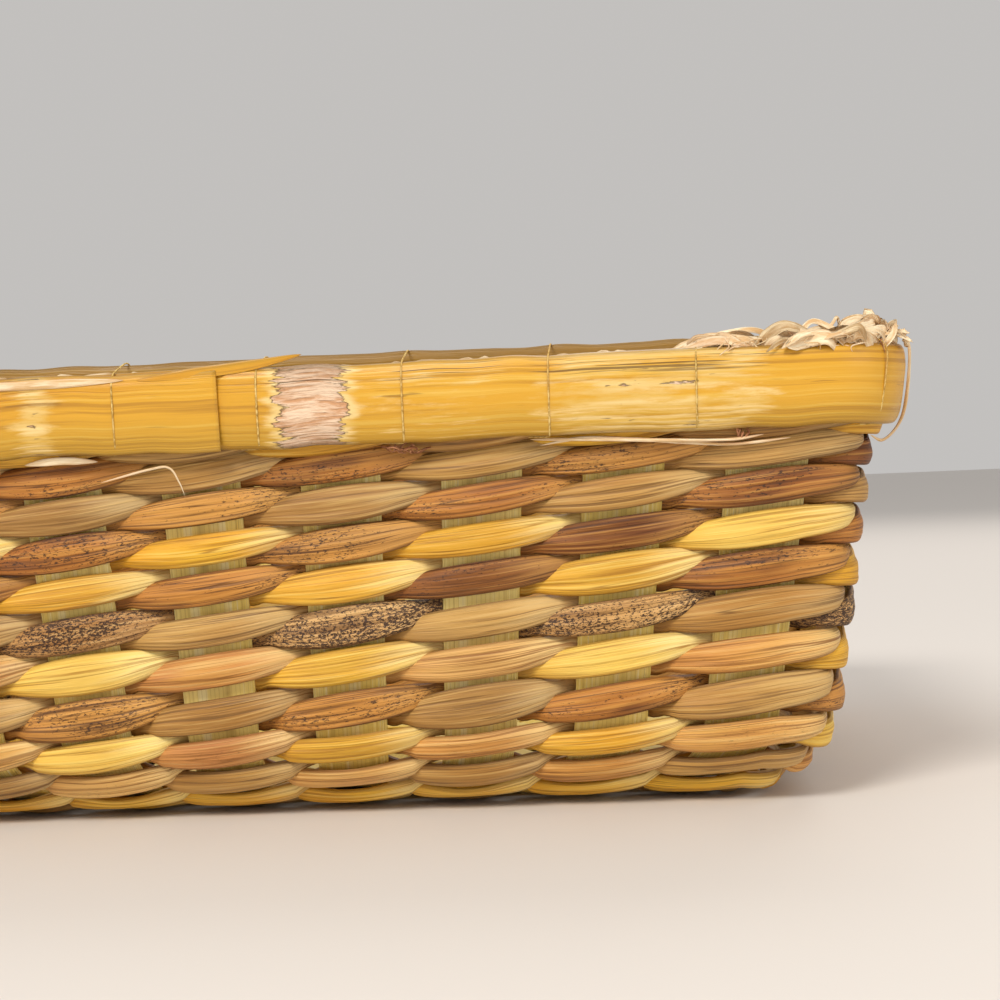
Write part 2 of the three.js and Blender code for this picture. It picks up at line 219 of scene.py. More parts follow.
def sweepTree():
    tree = bpy.data.node_groups.new("sweepAlongGuide", "GeometryNodeTree")
    face = tree.interface
    face.new_socket("Geometry", in_out="OUTPUT", socket_type="NodeSocketGeometry")
    sockets = {
        "Geometry": ("Guide",),
        "Int": ("Points along", "Points around"),
        "Bool": ("Closed",),
        "Float": ("Girth", "Squareness", "Fold height", "Folds per metre", "Fold stretch", "Ribs",
                  "Rib depth", "Seed"),
        "Material": ("Material",),
    }
    for kind, names in sockets.items():
        for name in names:
            face.new_socket(name, in_out="INPUT", socket_type="NodeSocket" + kind)
    source = addNode(tree, "NodeGroupInput").outputs
    rows = addMath(tree, "ADD", source["Points along"], source["Closed"])
    columns = addMath(tree, "ADD", source["Points around"], 1.0)
    grid = addNode(tree, "GeometryNodeMeshGrid", {"Size X": 1.0, "Size Y": 1.0},
                   {"Vertices X": rows, "Vertices Y": columns})
    index = addNode(tree, "GeometryNodeInputIndex").outputs[0]
    row = addMath(tree, "FLOOR", addMath(tree, "DIVIDE", addMath(tree, "ADD", index, 0.5), columns))
    column = addMath(tree, "SUBTRACT", index, addMath(tree, "MULTIPLY", row, columns))
    guideRow = addMath(tree, "MODULO", row, source["Points along"])

    def sampled(name, dataType):
        attribute = addNode(tree, "GeometryNodeInputNamedAttribute",
                            {"data_type": dataType, "Name": name})
        sample = addNode(tree, "GeometryNodeSampleIndex", {"data_type": dataType, "domain": "POINT"},
                         {"Geometry": source["Guide"], "Index": guideRow,
                          "Value": attribute.outputs["Attribute"]})
        return sample.outputs[0]

    place = addNode(tree, "GeometryNodeSampleIndex", {"data_type": "FLOAT_VECTOR", "domain": "POINT"},
                    {"Geometry": source["Guide"], "Index": guideRow,
                     "Value": addNode(tree, "GeometryNodeInputPosition").outputs[0]}).outputs[0]
    outwards = sampled("outwards", "FLOAT_VECTOR")
    across = sampled("across", "FLOAT_VECTOR")
    halfWidth = sampled("halfWidth", "FLOAT")
    outerHalf = sampled("outerHalf", "FLOAT")
    innerHalf = sampled("innerHalf", "FLOAT")
    length = sampled("length", "FLOAT")
    lastLength = sampled("lastLength", "FLOAT")
    # The closing row of a ring carries its length on instead of starting again.
    wrapped = addMath(tree, "GREATER_THAN", addMath(tree, "ADD", row, 0.5), source["Points along"])
    length = addMath(tree, "ADD", length, addMath(tree, "MULTIPLY", wrapped, lastLength))

    around = addMath(tree, "DIVIDE", column, source["Points around"])
    # The last column stands exactly on the first, so that the seam closes.
    turned = addMath(tree, "MODULO", column, source["Points around"])
    turned = addMath(tree, "DIVIDE", turned, source["Points around"])
    angle = addMath(tree, "MULTIPLY", turned, 2 * math.pi)
    cosine = addMath(tree, "COSINE", angle)
    sine = addMath(tree, "SINE", angle)

    def squared(value):
        size = addMath(tree, "POWER", addMath(tree, "ABSOLUTE", value), source["Squareness"])
        return addMath(tree, "MULTIPLY", size, addMath(tree, "SIGN", value))

    side = squared(cosine)
    depth = squared(sine)
    isOuter = addMath(tree, "GREATER_THAN", sine, 0.0)
    isInner = addMath(tree, "SUBTRACT", 1.0, isOuter)
    halfDepth = addMath(tree, "ADD", addMath(tree, "MULTIPLY", isOuter, outerHalf),
                        addMath(tree, "MULTIPLY", isInner, innerHalf))
    # Folds and ribs fade out at the section's two edges.
    flatness = addMath(tree, "ABSOLUTE", sine)
    coordinate = addNode(tree, "ShaderNodeCombineXYZ", None, {
        "X": addMath(tree, "MULTIPLY", length, source["Fold stretch"]),
        "Y": addMath(tree, "MULTIPLY", addMath(tree, "MULTIPLY", side, halfWidth),
                     source["Folds per metre"]),
        "Z": addMath(tree, "ADD", source["Seed"], addMath(tree, "MULTIPLY", isOuter, 7.3))}).outputs[0]
    fold = addNode(tree, "ShaderNodeTexNoise", {"Scale": 1.0, "Detail": 2.0, "Roughness": 0.5},
                   {"Vector": coordinate}).outputs[0]
    fold = addMath(tree, "MULTIPLY", addMath(tree, "SUBTRACT", fold, 0.5), source["Fold height"])
    # Folds fade out within a few rows of either end, so that a ring's two ends meet.
    rowsLeft = addMath(tree, "SUBTRACT", source["Points along"], row)
    fade = addMath(tree, "DIVIDE", addMath(tree, "MINIMUM", row, rowsLeft), 6.0, clamp=True)
    fold = addMath(tree, "MULTIPLY", fold, fade)
    rib = addMath(tree, "ABSOLUTE", addMath(tree, "SINE", addMath(tree, "MULTIPLY", side,
                  addMath(tree, "MULTIPLY", source["Ribs"], math.pi / 2))))
    rib = addMath(tree, "MULTIPLY", addMath(tree, "SUBTRACT", rib, 0.6), source["Rib depth"])
    lift = addMath(tree, "MULTIPLY", addMath(tree, "ADD", fold, rib), flatness)
    lift = addMath(tree, "MULTIPLY", lift, addMath(tree, "SIGN", sine))
    # Where a closed end has no width it has no lift either, and its points merge into one.
    lift = addMath(tree, "MULTIPLY", lift, addMath(tree, "GREATER_THAN", halfWidth, 0.0))
    outward = addMath(tree, "ADD", addMath(tree, "MULTIPLY", depth, halfDepth), lift)
    offset = addVectorMath(tree, "ADD",
                           addVectorMath(tree, "SCALE", outwards, scale=outward),
                           addVectorMath(tree, "SCALE", across,
                                         scale=addMath(tree, "MULTIPLY", side, halfWidth)))
    position = addVectorMath(tree, "ADD", place, offset)

    # The lengthways and crossways measures in metres go into the UV map, before the seams close.
    uv = addNode(tree, "ShaderNodeCombineXYZ", None, {
        "X": length,
        "Y": addMath(tree, "MULTIPLY", around, source["Girth"])}).outputs[0]
    uv = addNode(tree, "GeometryNodeFieldOnDomain", {"data_type": "FLOAT_VECTOR", "domain": "POINT"},
                 {"Value": uv}).outputs[0]
    kept = addNode(tree, "GeometryNodeStoreNamedAttribute",
                   {"data_type": "FLOAT2", "domain": "CORNER", "Name": "UVMap"},
                   {"Geometry": grid.outputs["Mesh"], "Value": uv}).outputs[0]
    stored = {name: sampled(name, "FLOAT") for name in ("bend", "wear", "run", "tone")}
    stored["edge"] = addMath(tree, "ABSOLUTE", cosine)
    stored["side"] = side
    for name, value in stored.items():
        kept = addNode(tree, "GeometryNodeStoreNamedAttribute",
                       {"data_type": "FLOAT", "domain": "POINT", "Name": name},
                       {"Geometry": kept, "Value": value}).outputs[0]
    placed = addNode(tree, "GeometryNodeSetPosition", None, {"Geometry": kept, "Position": position})
    merged = addNode(tree, "GeometryNodeMergeByDistance", {"Distance": 0.000004},
                     {"Geometry": placed.outputs[0]})
    smooth = addNode(tree, "GeometryNodeSetShadeSmooth", None, {"Geometry": merged.outputs[0]})
    real = addNode(tree, "GeometryNodeRealizeInstances", None, {"Geometry": smooth.outputs[0]})
    painted = addNode(tree, "GeometryNodeSetMaterial", None,
                      {"Geometry": real.outputs[0], "Material": source["Material"]})
    addNode(tree, "NodeGroupOutput", None, {"Geometry": painted.outputs[0]})
    return tree


sweep = sweepTree()
plainSweep = {
    "Points around": 12,
    "Closed": False,
    "Squareness": 1.0,
    "Fold height": 0.0,
    "Folds per metre": 300.0,
    "Fold stretch": 20.0,
    "Ribs": 0.0,
    "Rib depth": 0.0,
    "Seed": 0.0,
}


# Runs a node tree on an object with these inputs, and returns a plain mesh of the result.
def bakeTree(obj, tree, inputs):
    modifier = obj.modifiers.new(tree.name, "NODES")
    modifier.node_group = tree
    for socket in tree.interface.items_tree:
        if socket.in_out == "INPUT" and socket.name in inputs:
            modifier[socket.identifier] = inputs[socket.name]
    graph = bpy.context.evaluated_depsgraph_get()
    mesh = bpy.data.meshes.new_from_object(obj.evaluated_get(graph), depsgraph=graph)
    bpy.data.objects.remove(obj)
    return mesh


# Sweeps one piece along its guide, a list of points in millimetres with their section there.
def sweepGuide(name, guide, inputs, material):
    if not inputs.get("Closed"):
        shut = {"halfWidth": 0.0, "outerHalf": 0.0, "innerHalf": 0.0}
        guide = [{**guide[0], **shut}, *guide, {**guide[-1], **shut}]
    points = bpy.data.meshes.new(name + "Guide")
    points.from_pydata([tuple(g["at"] * mm) for g in guide], [], [])
    lengths = [0.0]
    for before, after in zip(guide, guide[1:]):
        lengths.append(lengths[-1] + (after["at"] - before["at"]).length * mm)
    ringLength = lengths[-1] + (guide[0]["at"] - guide[-1]["at"]).length * mm
    start = inputs.get("Seed", 0.0) * 0.37
    vectors = {"outwards": [g["outwards"] for g in guide], "across": [g["across"] for g in guide]}
    numbers = {
        "halfWidth": [g["halfWidth"] * mm for g in guide],
        "outerHalf": [g["outerHalf"] * mm for g in guide],
        "innerHalf": [g.get("innerHalf", g["outerHalf"]) * mm for g in guide],
        "length": [start + part for part in lengths],
        "lastLength": [ringLength] * len(guide),
        "bend": [g.get("bend", 0.0) for g in guide],
        "wear": [g.get("wear", 0.0) for g in guide],
        "run": [g.get("run", 0.0) for g in guide],
        "tone": [g.get("tone", 0.5) for g in guide],
    }
    for key, values in vectors.items():
        attribute = points.attributes.new(key, "FLOAT_VECTOR", "POINT")
        attribute.data.foreach_set("vector", [c for v in values for c in v])
    for key, values in numbers.items():
        attribute = points.attributes.new(key, "FLOAT", "POINT")
        attribute.data.foreach_set("value", values)
    holder = bpy.data.objects.new(name + "Guide", points)
    shown.objects.link(holder)
    girth = 4 * max(g["halfWidth"] for g in guide) * mm
    settings = {**plainSweep, "Girth": girth, **inputs, "Points along": len(guide),
                "Material": material}
    mesh = bakeTree(holder, sweep, settings)
    solid = bmesh.new()
    solid.from_mesh(mesh)
    if solid.calc_volume(signed=True) < 0:
        mesh.flip_normals()
    solid.free()
    piece = bpy.data.objects.new(name, mesh)
    shown.objects.link(piece)
    return piece


# Gives a finished piece its body, and hides the imported nodes that it stands for.
def finishPiece(piece, slotName, *nodes):
    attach(piece, "root")
    if nodes:
        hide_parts(*nodes)


def smoothStep(low, high, value):
    share = min(max((value - low) / (high - low), 0), 1)
    return share * share * (3 - 2 * share)


# Smooth random values along a closed or open run, from a fixed seed.
def smoothNoise(seed, count):
    draw = random.Random(seed)
    values = [draw.uniform(-1, 1) for _ in range(count)]

    def valueAt(place):
        low = math.floor(place)
        share = smoothStep(0, 1, place - low)
        return values[low % count] * (1 - share) + values[(low + 1) % count] * share

    return valueAt


# Materials


def newMaterial(name):
    material = bpy.data.materials.new(name)
    material.use_nodes = True
    tree = material.node_tree
    tree.nodes.clear()
    shader = addNode(tree, "ShaderNodeBsdfPrincipled")
    addNode(tree, "ShaderNodeOutputMaterial", None, {"Surface": shader.outputs[0]})
    return material, tree, shader


# Noise on the UV map, with this many cells per metre along and across the piece.
def noiseAt(tree, uv, along, across, seed=0.0, detail=2.0, roughness=0.5):
    scaled = addVectorMath(tree, "MULTIPLY", uv, (along, across, 0.0))
    moved = addVectorMath(tree, "ADD", scaled, (seed, seed * 1.7, seed * 0.3))
    node = addNode(tree, "ShaderNodeTexNoise",
                   {"Scale": 1.0, "Detail": detail, "Roughness": roughness},
                   {"Vector": moved})
    return node.outputs[0]


# 0 below low and 1 above high, smooth between.
def ramp(tree, value, low, high):
    node = addNode(tree, "ShaderNodeMapRange", {"interpolation_type": "SMOOTHSTEP",
                   "From Min": low, "From Max": high, "To Min": 0.0, "To Max": 1.0},
                   {"Value": value})
    return node.outputs[0]


def mixColour(tree, share, first, second):
    node = tree.nodes.new("ShaderNodeMix")
    node.data_type = "RGBA"
    for socket, value in ((node.inputs[0], share), (node.inputs[6], first), (node.inputs[7], second)):
        if isinstance(value, (int, float, tuple)):
            socket.default_value = value
        else:
            tree.links.new(value, socket)
    return node.outputs[2]


def attributeOf(tree, name):
    return addNode(tree, "ShaderNodeAttribute", {"attribute_name": name}).outputs["Fac"]


def addBump(tree, height, distance, strength=1.0, normal=None):
    links = {"Height": height}
    if normal is not None:
        links["Normal"] = normal
    return addNode(tree, "ShaderNodeBump", {"Distance": distance, "Strength": strength},
                   links).outputs[0]


# Dried leaf strand: fine veins run along it, its colour drifts, and its edges are darker.
def leafMaterial(name, look):
    material, tree, shader = newMaterial(name)
    uv = addNode(tree, "ShaderNodeUVMap", {"uv_map": "UVMap"}).outputs[0]
    colours = [linearColour(code) for code in look["colours"]]
    seed = look["seed"]
    drift = ramp(tree, noiseAt(tree, uv, 22, 90, seed, 3), 0.36, 0.64)
    base = mixColour(tree, drift, colours[0], colours[1])
    patch = ramp(tree, noiseAt(tree, uv, 34, 130, seed + 5, 3), *look["patchRange"])
    base = mixColour(tree, addMath(tree, "MULTIPLY", patch, look["patch"]), base, colours[2])
    # From one stitch to the next the leaf is lighter or darker.
    tone = attributeOf(tree, "tone")
    base = mixColour(tree, addMath(tree, "MULTIPLY", ramp(tree, tone, 0.5, 0.95), look["toneLight"]),
                     base, colours[3])
    base = mixColour(tree, addMath(tree, "MULTIPLY", ramp(tree, tone, 0.5, 0.05), look["toneDark"]),
                     base, colours[2])
    # A stitch is painted deeper in colour at its start and paler towards its far end, where it turns in: the
    # pale far end is a painted highlight.
    run = attributeOf(tree, "run")
    streaks = noiseAt(tree, uv, 18, 900, seed + 7, 3, 0.6)
    pale = addMath(tree, "ADD", run, addMath(tree, "MULTIPLY",
                   addMath(tree, "SUBTRACT", streaks, 0.5), 1.4))
    base = mixColour(tree, addMath(tree, "MULTIPLY", ramp(tree, pale, 0.1, 0.95), look["pale"]), base,
                     linearColour(look["highlightColour"]))
    base = mixColour(tree, addMath(tree, "MULTIPLY", ramp(tree, run, -0.25, -1.0), 0.45), base,
                     colours[1])
    # Veins: narrow bands of light and dark along the leaf.
    veins = noiseAt(tree, uv, 22, 1350, seed + 9, 4, 0.6)
    light = ramp(tree, veins, 0.51, 0.64)
    dark = ramp(tree, veins, 0.49, 0.36)
    base = mixColour(tree, addMath(tree, "MULTIPLY", light, 0.42), base, colours[3])
    base = mixColour(tree, addMath(tree, "MULTIPLY", dark, look["veinDark"]), base, colours[4])
    # Creases: a few long dark lines.
    crease = noiseAt(tree, uv, 9, 620, seed + 14, 2, 0.4)
    creaseLine = addMath(tree, "SUBTRACT", 1.0, ramp(tree, addMath(tree, "ABSOLUTE",
                         addMath(tree, "SUBTRACT", crease, 0.5)), 0.0, 0.022))
    base = mixColour(tree, addMath(tree, "MULTIPLY", creaseLine, look["creases"]), base, colours[4])
    # Where the strand turns in between the slats it is painted darker, as painted shade in the gap; its edges
    # are darker too.
    bend = addMath(tree, "MULTIPLY", ramp(tree, attributeOf(tree, "bend"), 0.75, 1.0), look["turned"])
    base = mixColour(tree, bend, base, linearColour(look["turnShadeColour"]))
    edge = addMath(tree, "MULTIPLY", ramp(tree, attributeOf(tree, "edge"), 0.8, 1.0), 0.6)
    base = mixColour(tree, edge, base, colours[4])
    if look["specks"] > 0:
        grains = noiseAt(tree, uv, look["speckAlong"], look["speckAcross"], seed + 21, 3, 0.7)
        area = ramp(tree, noiseAt(tree, uv, 26, 120, seed + 27, 2), *look["speckArea"])
        amount = addMath(tree, "ADD", look["speckLevel"], addMath(tree, "MULTIPLY", area, -0.12))
        spots = ramp(tree, addMath(tree, "SUBTRACT", grains, amount), 0.0, 0.05)
        spots = addMath(tree, "MULTIPLY", spots, look["specks"])
        base = mixColour(tree, spots, base, linearColour(look["speckColour"]))
    tree.links.new(base, shader.inputs["Base Color"])
    rough = addNode(tree, "ShaderNodeMapRange", {"To Min": 0.4, "To Max": 0.66}, {"Value": veins})
    tree.links.new(rough.outputs[0], shader.inputs["Roughness"])
    shader.inputs["Specular IOR Level"].default_value = 0.4
    fine = addBump(tree, veins, 0.0004, 1.0)
    broad = addBump(tree, noiseAt(tree, uv, 14, 420, seed + 33, 2), 0.0009, 1.0, fine)
    creased = addBump(tree, creaseLine, 0.00035, -1.0, broad)
    tree.links.new(creased, shader.inputs["Normal"])
    return material


plainLeaf = {
    "patchRange": (0.5, 0.66),
    "patch": 0.55,
    "toneLight": 0.45,
    "toneDark": 0.6,
    # The pale share and its colour paint a highlight at each stitch's far end.
    "pale": 0.6,
    "highlightColour": "f7e9a8",
    "veinDark": 0.7,
    "creases": 0.75,
    # The turned share and its colour paint shade where a strand turns in between the slats.
    "turned": 0.5,
    "turnShadeColour": "8a5a1c",
    "specks": 0.0,
    "speckAlong": 800.0,
    "speckAcross": 3000.0,
    "speckLevel": 0.66,
    "speckArea": (0.42, 0.6),
    "speckColour": "331b0e",
}
# Colours of each leaf: main, second, patches, light veins, dark veins.
leafLooks = {
    "yellow": {**plainLeaf, "seed": 1.0, "colours": ("efbe3a", "e0a01e", "cf9a34", "fae07c", "a3701c")},
    "grey": {**plainLeaf, "seed": 11.0, "pale": 0.4, "toneLight": 0.3, "highlightColour": "e2cd98",
             "colours": ("c2954e", "b2803c", "97703c", "dcb873", "6e4c22")},
    "tan": {**plainLeaf, "seed": 23.0, "specks": 0.3, "speckLevel": 0.72, "highlightColour": "f0d898",
            "colours": ("dba24e", "ca883a", "b9784a", "f0cd84", "8c5a24")},
    "brown": {**plainLeaf, "seed": 31.0, "patch": 0.8, "specks": 0.85,
              "turned": 0.3, "pale": 0.4, "highlightColour": "d9a75c",
              "toneLight": 0.6, "toneDark": 0.95,
              "colours": ("c28236", "a66526", "6a3814", "dca452", "4a270e")},
    "speckled": {**plainLeaf, "seed": 47.0, "specks": 0.95, "speckAlong": 1300.0, "pale": 0.2,
                 "speckAcross": 3200.0, "speckLevel": 0.56, "speckArea": (0.3, 0.55),
                 "highlightColour": "e8c488",
                 "colours": ("d0a060", "b98444", "9a6c3c", "e8c488", "6a4520")},
}
leafMaterials = {key: leafMaterial("driedLeaf" + key.capitalize(), look)
                 for key, look in leafLooks.items()}


# Split reed slat: pale yellow-green strip with darker lines between its ribs.
def reedMaterial():
    material, tree, shader = newMaterial("splitReed")
    uv = addNode(tree, "ShaderNodeUVMap", {"uv_map": "UVMap"}).outputs[0]
    side = attributeOf(tree, "side")
    drift = ramp(tree, noiseAt(tree, uv, 14, 60, 3), 0.35, 0.65)
    base = mixColour(tree, drift, linearColour("f9e38e"), linearColour("f1d268"))
    lines = noiseAt(tree, uv, 12, 1300, 8, 3, 0.6)
    base = mixColour(tree, addMath(tree, "MULTIPLY", ramp(tree, lines, 0.52, 0.68), 0.6), base,
                     linearColour("fdf0b8"))
    base = mixColour(tree, addMath(tree, "MULTIPLY", ramp(tree, lines, 0.47, 0.32), 0.4), base,
                     linearColour("b48a3c"))
    # Narrow grooves run along the strip between its fibres.
    wave = addMath(tree, "ABSOLUTE", addMath(tree, "SINE", addMath(tree, "MULTIPLY", side,
                   reedLook["fibres"] * math.pi / 2)))
    groove = ramp(tree, wave, 0.45, 0.0)
    base = mixColour(tree, addMath(tree, "MULTIPLY", groove, 0.3), base, linearColour("b8903a"))
    tree.links.new(base, shader.inputs["Base Color"])
    shader.inputs["Roughness"].default_value = 0.5
    shader.inputs["Specular IOR Level"].default_value = 0.4
    fine = addBump(tree, lines, 0.0003, 1.0)
    tree.links.new(addBump(tree, groove, 0.0003, -1.0, fine), shader.inputs["Normal"])
    return material


reedLook = {"ribs": 5.0, "ribDepth": 0.3, "fibres": 17.0}
reed = reedMaterial()


# Split stem: glossy golden skin over pale pith. The skin is gone where wear is high.
def stemMaterial(name, look):
    material, tree, shader = newMaterial(name)
    uv = addNode(tree, "ShaderNodeUVMap", {"uv_map": "UVMap"}).outputs[0]
    seed = look["seed"]
    wear = attributeOf(tree, "wear")
    side = attributeOf(tree, "side")
    drift = ramp(tree, noiseAt(tree, uv, 9, 70, seed, 3), 0.38, 0.64)
    skin = mixColour(tree, drift, linearColour(look["skin"]), linearColour(look["skinDeep"]))
    lines = noiseAt(tree, uv, 7, 1100, seed + 4, 4, 0.62)
    skin = mixColour(tree, addMath(tree, "MULTIPLY", ramp(tree, lines, 0.52, 0.64), 0.4), skin,
                     linearColour(look["skinLight"]))
    skin = mixColour(tree, addMath(tree, "MULTIPLY", ramp(tree, lines, 0.48, 0.36), 0.5), skin,
                     linearColour(look["skinDark"]))
    scratches = ramp(tree, noiseAt(tree, uv, 55, 2600, seed + 9, 2), 0.68, 0.76)
    skin = mixColour(tree, addMath(tree, "MULTIPLY", scratches, 0.5), skin, linearColour("6e4517"))
    # The skin is painted deeper in colour towards the stem's lower edge: painted shade, as the light falls
    # from above.
    lowerShade = addMath(tree, "ADD", side, addMath(tree, "MULTIPLY",
                      addMath(tree, "SUBTRACT", noiseAt(tree, uv, 12, 300, seed + 6, 3), 0.5), 0.9))
    skin = mixColour(tree, addMath(tree, "MULTIPLY", ramp(tree, lowerShade, 0.1, -0.9), 0.5), skin,
                     linearColour(look["skinLowShade"]))
    # Thinned skin is cream, and where it is gone the pith shows pinkish white and frayed.
    ragged = noiseAt(tree, uv, 75, 1300, seed + 13, 6, 0.62)
    thin = addMath(tree, "ADD", wear, addMath(tree, "MULTIPLY",
                   addMath(tree, "SUBTRACT", ragged, 0.5), 1.5))
    cream = mixColour(tree, ramp(tree, noiseAt(tree, uv, 20, 1500, seed + 15, 3), 0.38, 0.62),
                      linearColour("deb75e"), linearColour("efd494"))
    skin = mixColour(tree, addMath(tree, "MULTIPLY", ramp(tree, thin, 0.3, 0.66), 0.85), skin, cream)
    fibres = noiseAt(tree, uv, 120, 2300, seed + 17, 4, 0.65)
    pith = mixColour(tree, ramp(tree, fibres, 0.36, 0.58), linearColour("cd9a70"),
                     linearColour("f0d2b4"))
    bare = ramp(tree, thin, 0.74, 0.8)
    base = mixColour(tree, bare, skin, pith)
    # Painted shade: the stem's top and bottom edges are darkened, a painted shade line where its section
    # rounds away from the light.
    low = addMath(tree, "MULTIPLY", ramp(tree, addMath(tree, "ABSOLUTE", side), 0.86, 1.0), 0.5)
    base = mixColour(tree, low, base, linearColour("7c5a20"))
    # Dark cracks open along the top of the worn stretches.
    cracks = noiseAt(tree, uv, 16, 1500, seed + 23, 3, 0.6)
    cracked = addMath(tree, "MULTIPLY", ramp(tree, cracks, 0.58, 0.62), ramp(tree, side, 0.0, 0.75))
    cracked = addMath(tree, "MULTIPLY", cracked, ramp(tree, wear, 0.12, 0.3))
    base = mixColour(tree, addMath(tree, "MULTIPLY", cracked, 0.8), base, linearColour("5e4320"))
    tree.links.new(base, shader.inputs["Base Color"])
    rough = addNode(tree, "ShaderNodeMapRange", {"To Min": 0.34, "To Max": 0.85}, {"Value": bare})
    tree.links.new(rough.outputs[0], shader.inputs["Roughness"])
    shader.inputs["Specular IOR Level"].default_value = 0.5
    first = addBump(tree, lines, 0.00025, 1.0)
    second = addBump(tree, addMath(tree, "MULTIPLY", bare, addMath(tree, "SUBTRACT", fibres, 1.4)),
                     0.0009, 1.0, first)
    third = addBump(tree, cracked, 0.0005, -1.0, second)
    tree.links.new(third, shader.inputs["Normal"])
    return material


stemLooks = {
    # The low skin colour of each look is painted shade for the stem's lower edge.
    "outer": {"seed": 2.0, "skin": "dba42c", "skinDeep": "c98a1a", "skinLight": "efcf68",
              "skinDark": "96621a", "skinLowShade": "a98426"},
    # The inner look is a darker copy of the outer one: painted shade for the stem that sits behind the outer
    # stem.
    "inner": {"seed": 17.0, "skin": "b98a30", "skinDeep": "94702a", "skinLight": "dcb866",
              "skinDark": "6c4c18", "skinLowShade": "8a6a28"},
}
stemMaterials = {key: stemMaterial("splitStem" + key.capitalize(), look)
                 for key, look in stemLooks.items()}


# Loose pith or spun fibre: matt, with hair-fine strands along it.
def fibreMaterial(name, look):
    material, tree, shader = newMaterial(name)
    uv = addNode(tree, "ShaderNodeUVMap", {"uv_map": "UVMap"}).outputs[0]
    strands = noiseAt(tree, uv, look["along"], look["across"], look["seed"], 4, 0.65)
    base = mixColour(tree, ramp(tree, strands, 0.35, 0.65), linearColour(look["dark"]),
                     linearColour(look["light"]))
    blotch = ramp(tree, noiseAt(tree, uv, 45, 160, look["seed"] + 3, 2), 0.52, 0.7)
    base = mixColour(tree, addMath(tree, "MULTIPLY", blotch, 0.5), base, linearColour(look["stain"]))
    tree.links.new(base, shader.inputs["Base Color"])
    shader.inputs["Roughness"].default_value = 0.85
    shader.inputs["Specular IOR Level"].default_value = 0.25
    tree.links.new(addBump(tree, strands, look["relief"], 1.0), shader.inputs["Normal"])
    return material


paperMaterial = fibreMaterial("paperyPith", {"seed": 26.0, "along": 140.0, "across": 1500.0,
                              "dark": "d9b280", "light": "fbeccb", "stain": "c08a5c",
                              "relief": 0.0005})
pithMaterial = fibreMaterial("driedPith", {"seed": 5.0, "along": 120.0, "across": 1800.0,
                             "dark": "b99464", "light": "f2dfb8", "stain": "8f6a48", "relief": 0.0006})
threadMaterial = fibreMaterial("spunThread", {"seed": 9.0, "along": 900.0, "across": 1500.0,
                               "dark": "a8823a", "light": "e8cd84", "stain": "c5984e",
                               "relief": 0.0002})
brownFibre = fibreMaterial("brownFibre", {"seed": 14.0, "along": 200.0, "across": 2000.0,
                           "dark": "7c4a2a", "light": "c58d66", "stain": "5c3420", "relief": 0.0002})
paleFibre = fibreMaterial("paleFibre", {"seed": 19.0, "along": 90.0, "across": 1700.0,
                          "dark": "d6ae78", "light": "f6e4c2", "stain": "d9ac86", "relief": 0.0002})
print("materials made")

# Twined strands

weave = {
    "bendPitch": 8.0,
    "rowPitch": 10.1,
    "rowPitchLoss": 0.27,
    "rowsInBend": 3,
    "rowsOnWall": 8,
    "lashingRoom": -1.6,
    "lastRowBias": 1.3,
    "stepsPerSlat": 26,
    "bulge": 2.1,
    "bulgeInside": 3.0,
    "bulgeInBend": 5.0,
    "outwardBias": 0.8,
    "cornerBias": 1.3,
    "tipPlace": 0.68,
    "tipRise": 2.75,
    "roll": math.radians(14),
    "halfHeight": 4.5,
    "halfHeightInside": 4.4,
    "tipHalf": 1.3,
    "halfThickness": 1.1,
    "crossingThickness": 1.75,
    "bulgeOfLowRows": 1.9,
    "biasOfLowRows": 1.7,
    "stitchFlatness": 0.9,
    "outsideSpan": 0.82,
    "insideSpan": 0.54,
    "leafRoundness": 0.75,
    "narrowedInBend": 0.2,
    "unevenBulge": 0.3,
    "unevenRise": 0.14,
    "unevenRow": 0.3,
    "unevenHeight": 0.12,
    "unevenTilt": math.radians(8),
}
lowRows = 2
leavesOfRow = [
    ("yellow", "grey"), ("yellow", "yellow"), ("tan", "grey"), ("tan", "yellow"),
    ("brown", "grey"), ("tan", "yellow"), ("speckled", "grey"), ("brown", "yellow"),
    ("brown", "yellow"), ("brown", "grey"), ("brown", "grey"), ("grey", "yellow"),
]


# A row's distance up the wall, and the pitch there.
def rowPlace(row):
    if row <= weave["rowsInBend"]:
        return row * weave["bendPitch"], weave["bendPitch"]
    onWall = row - weave["rowsInBend"] - 1
    first = weave["rowsInBend"] * weave["bendPitch"] + (weave["bendPitch"] + weave["rowPitch"]) / 2
    distance = first + onWall * weave["rowPitch"] - weave["rowPitchLoss"] * onWall * (onWall - 1) / 2
    if onWall == weave["rowsOnWall"] - 1:
        distance += weave["lashingRoom"]
    return distance, weave["rowPitch"] - weave["rowPitchLoss"] * onWall


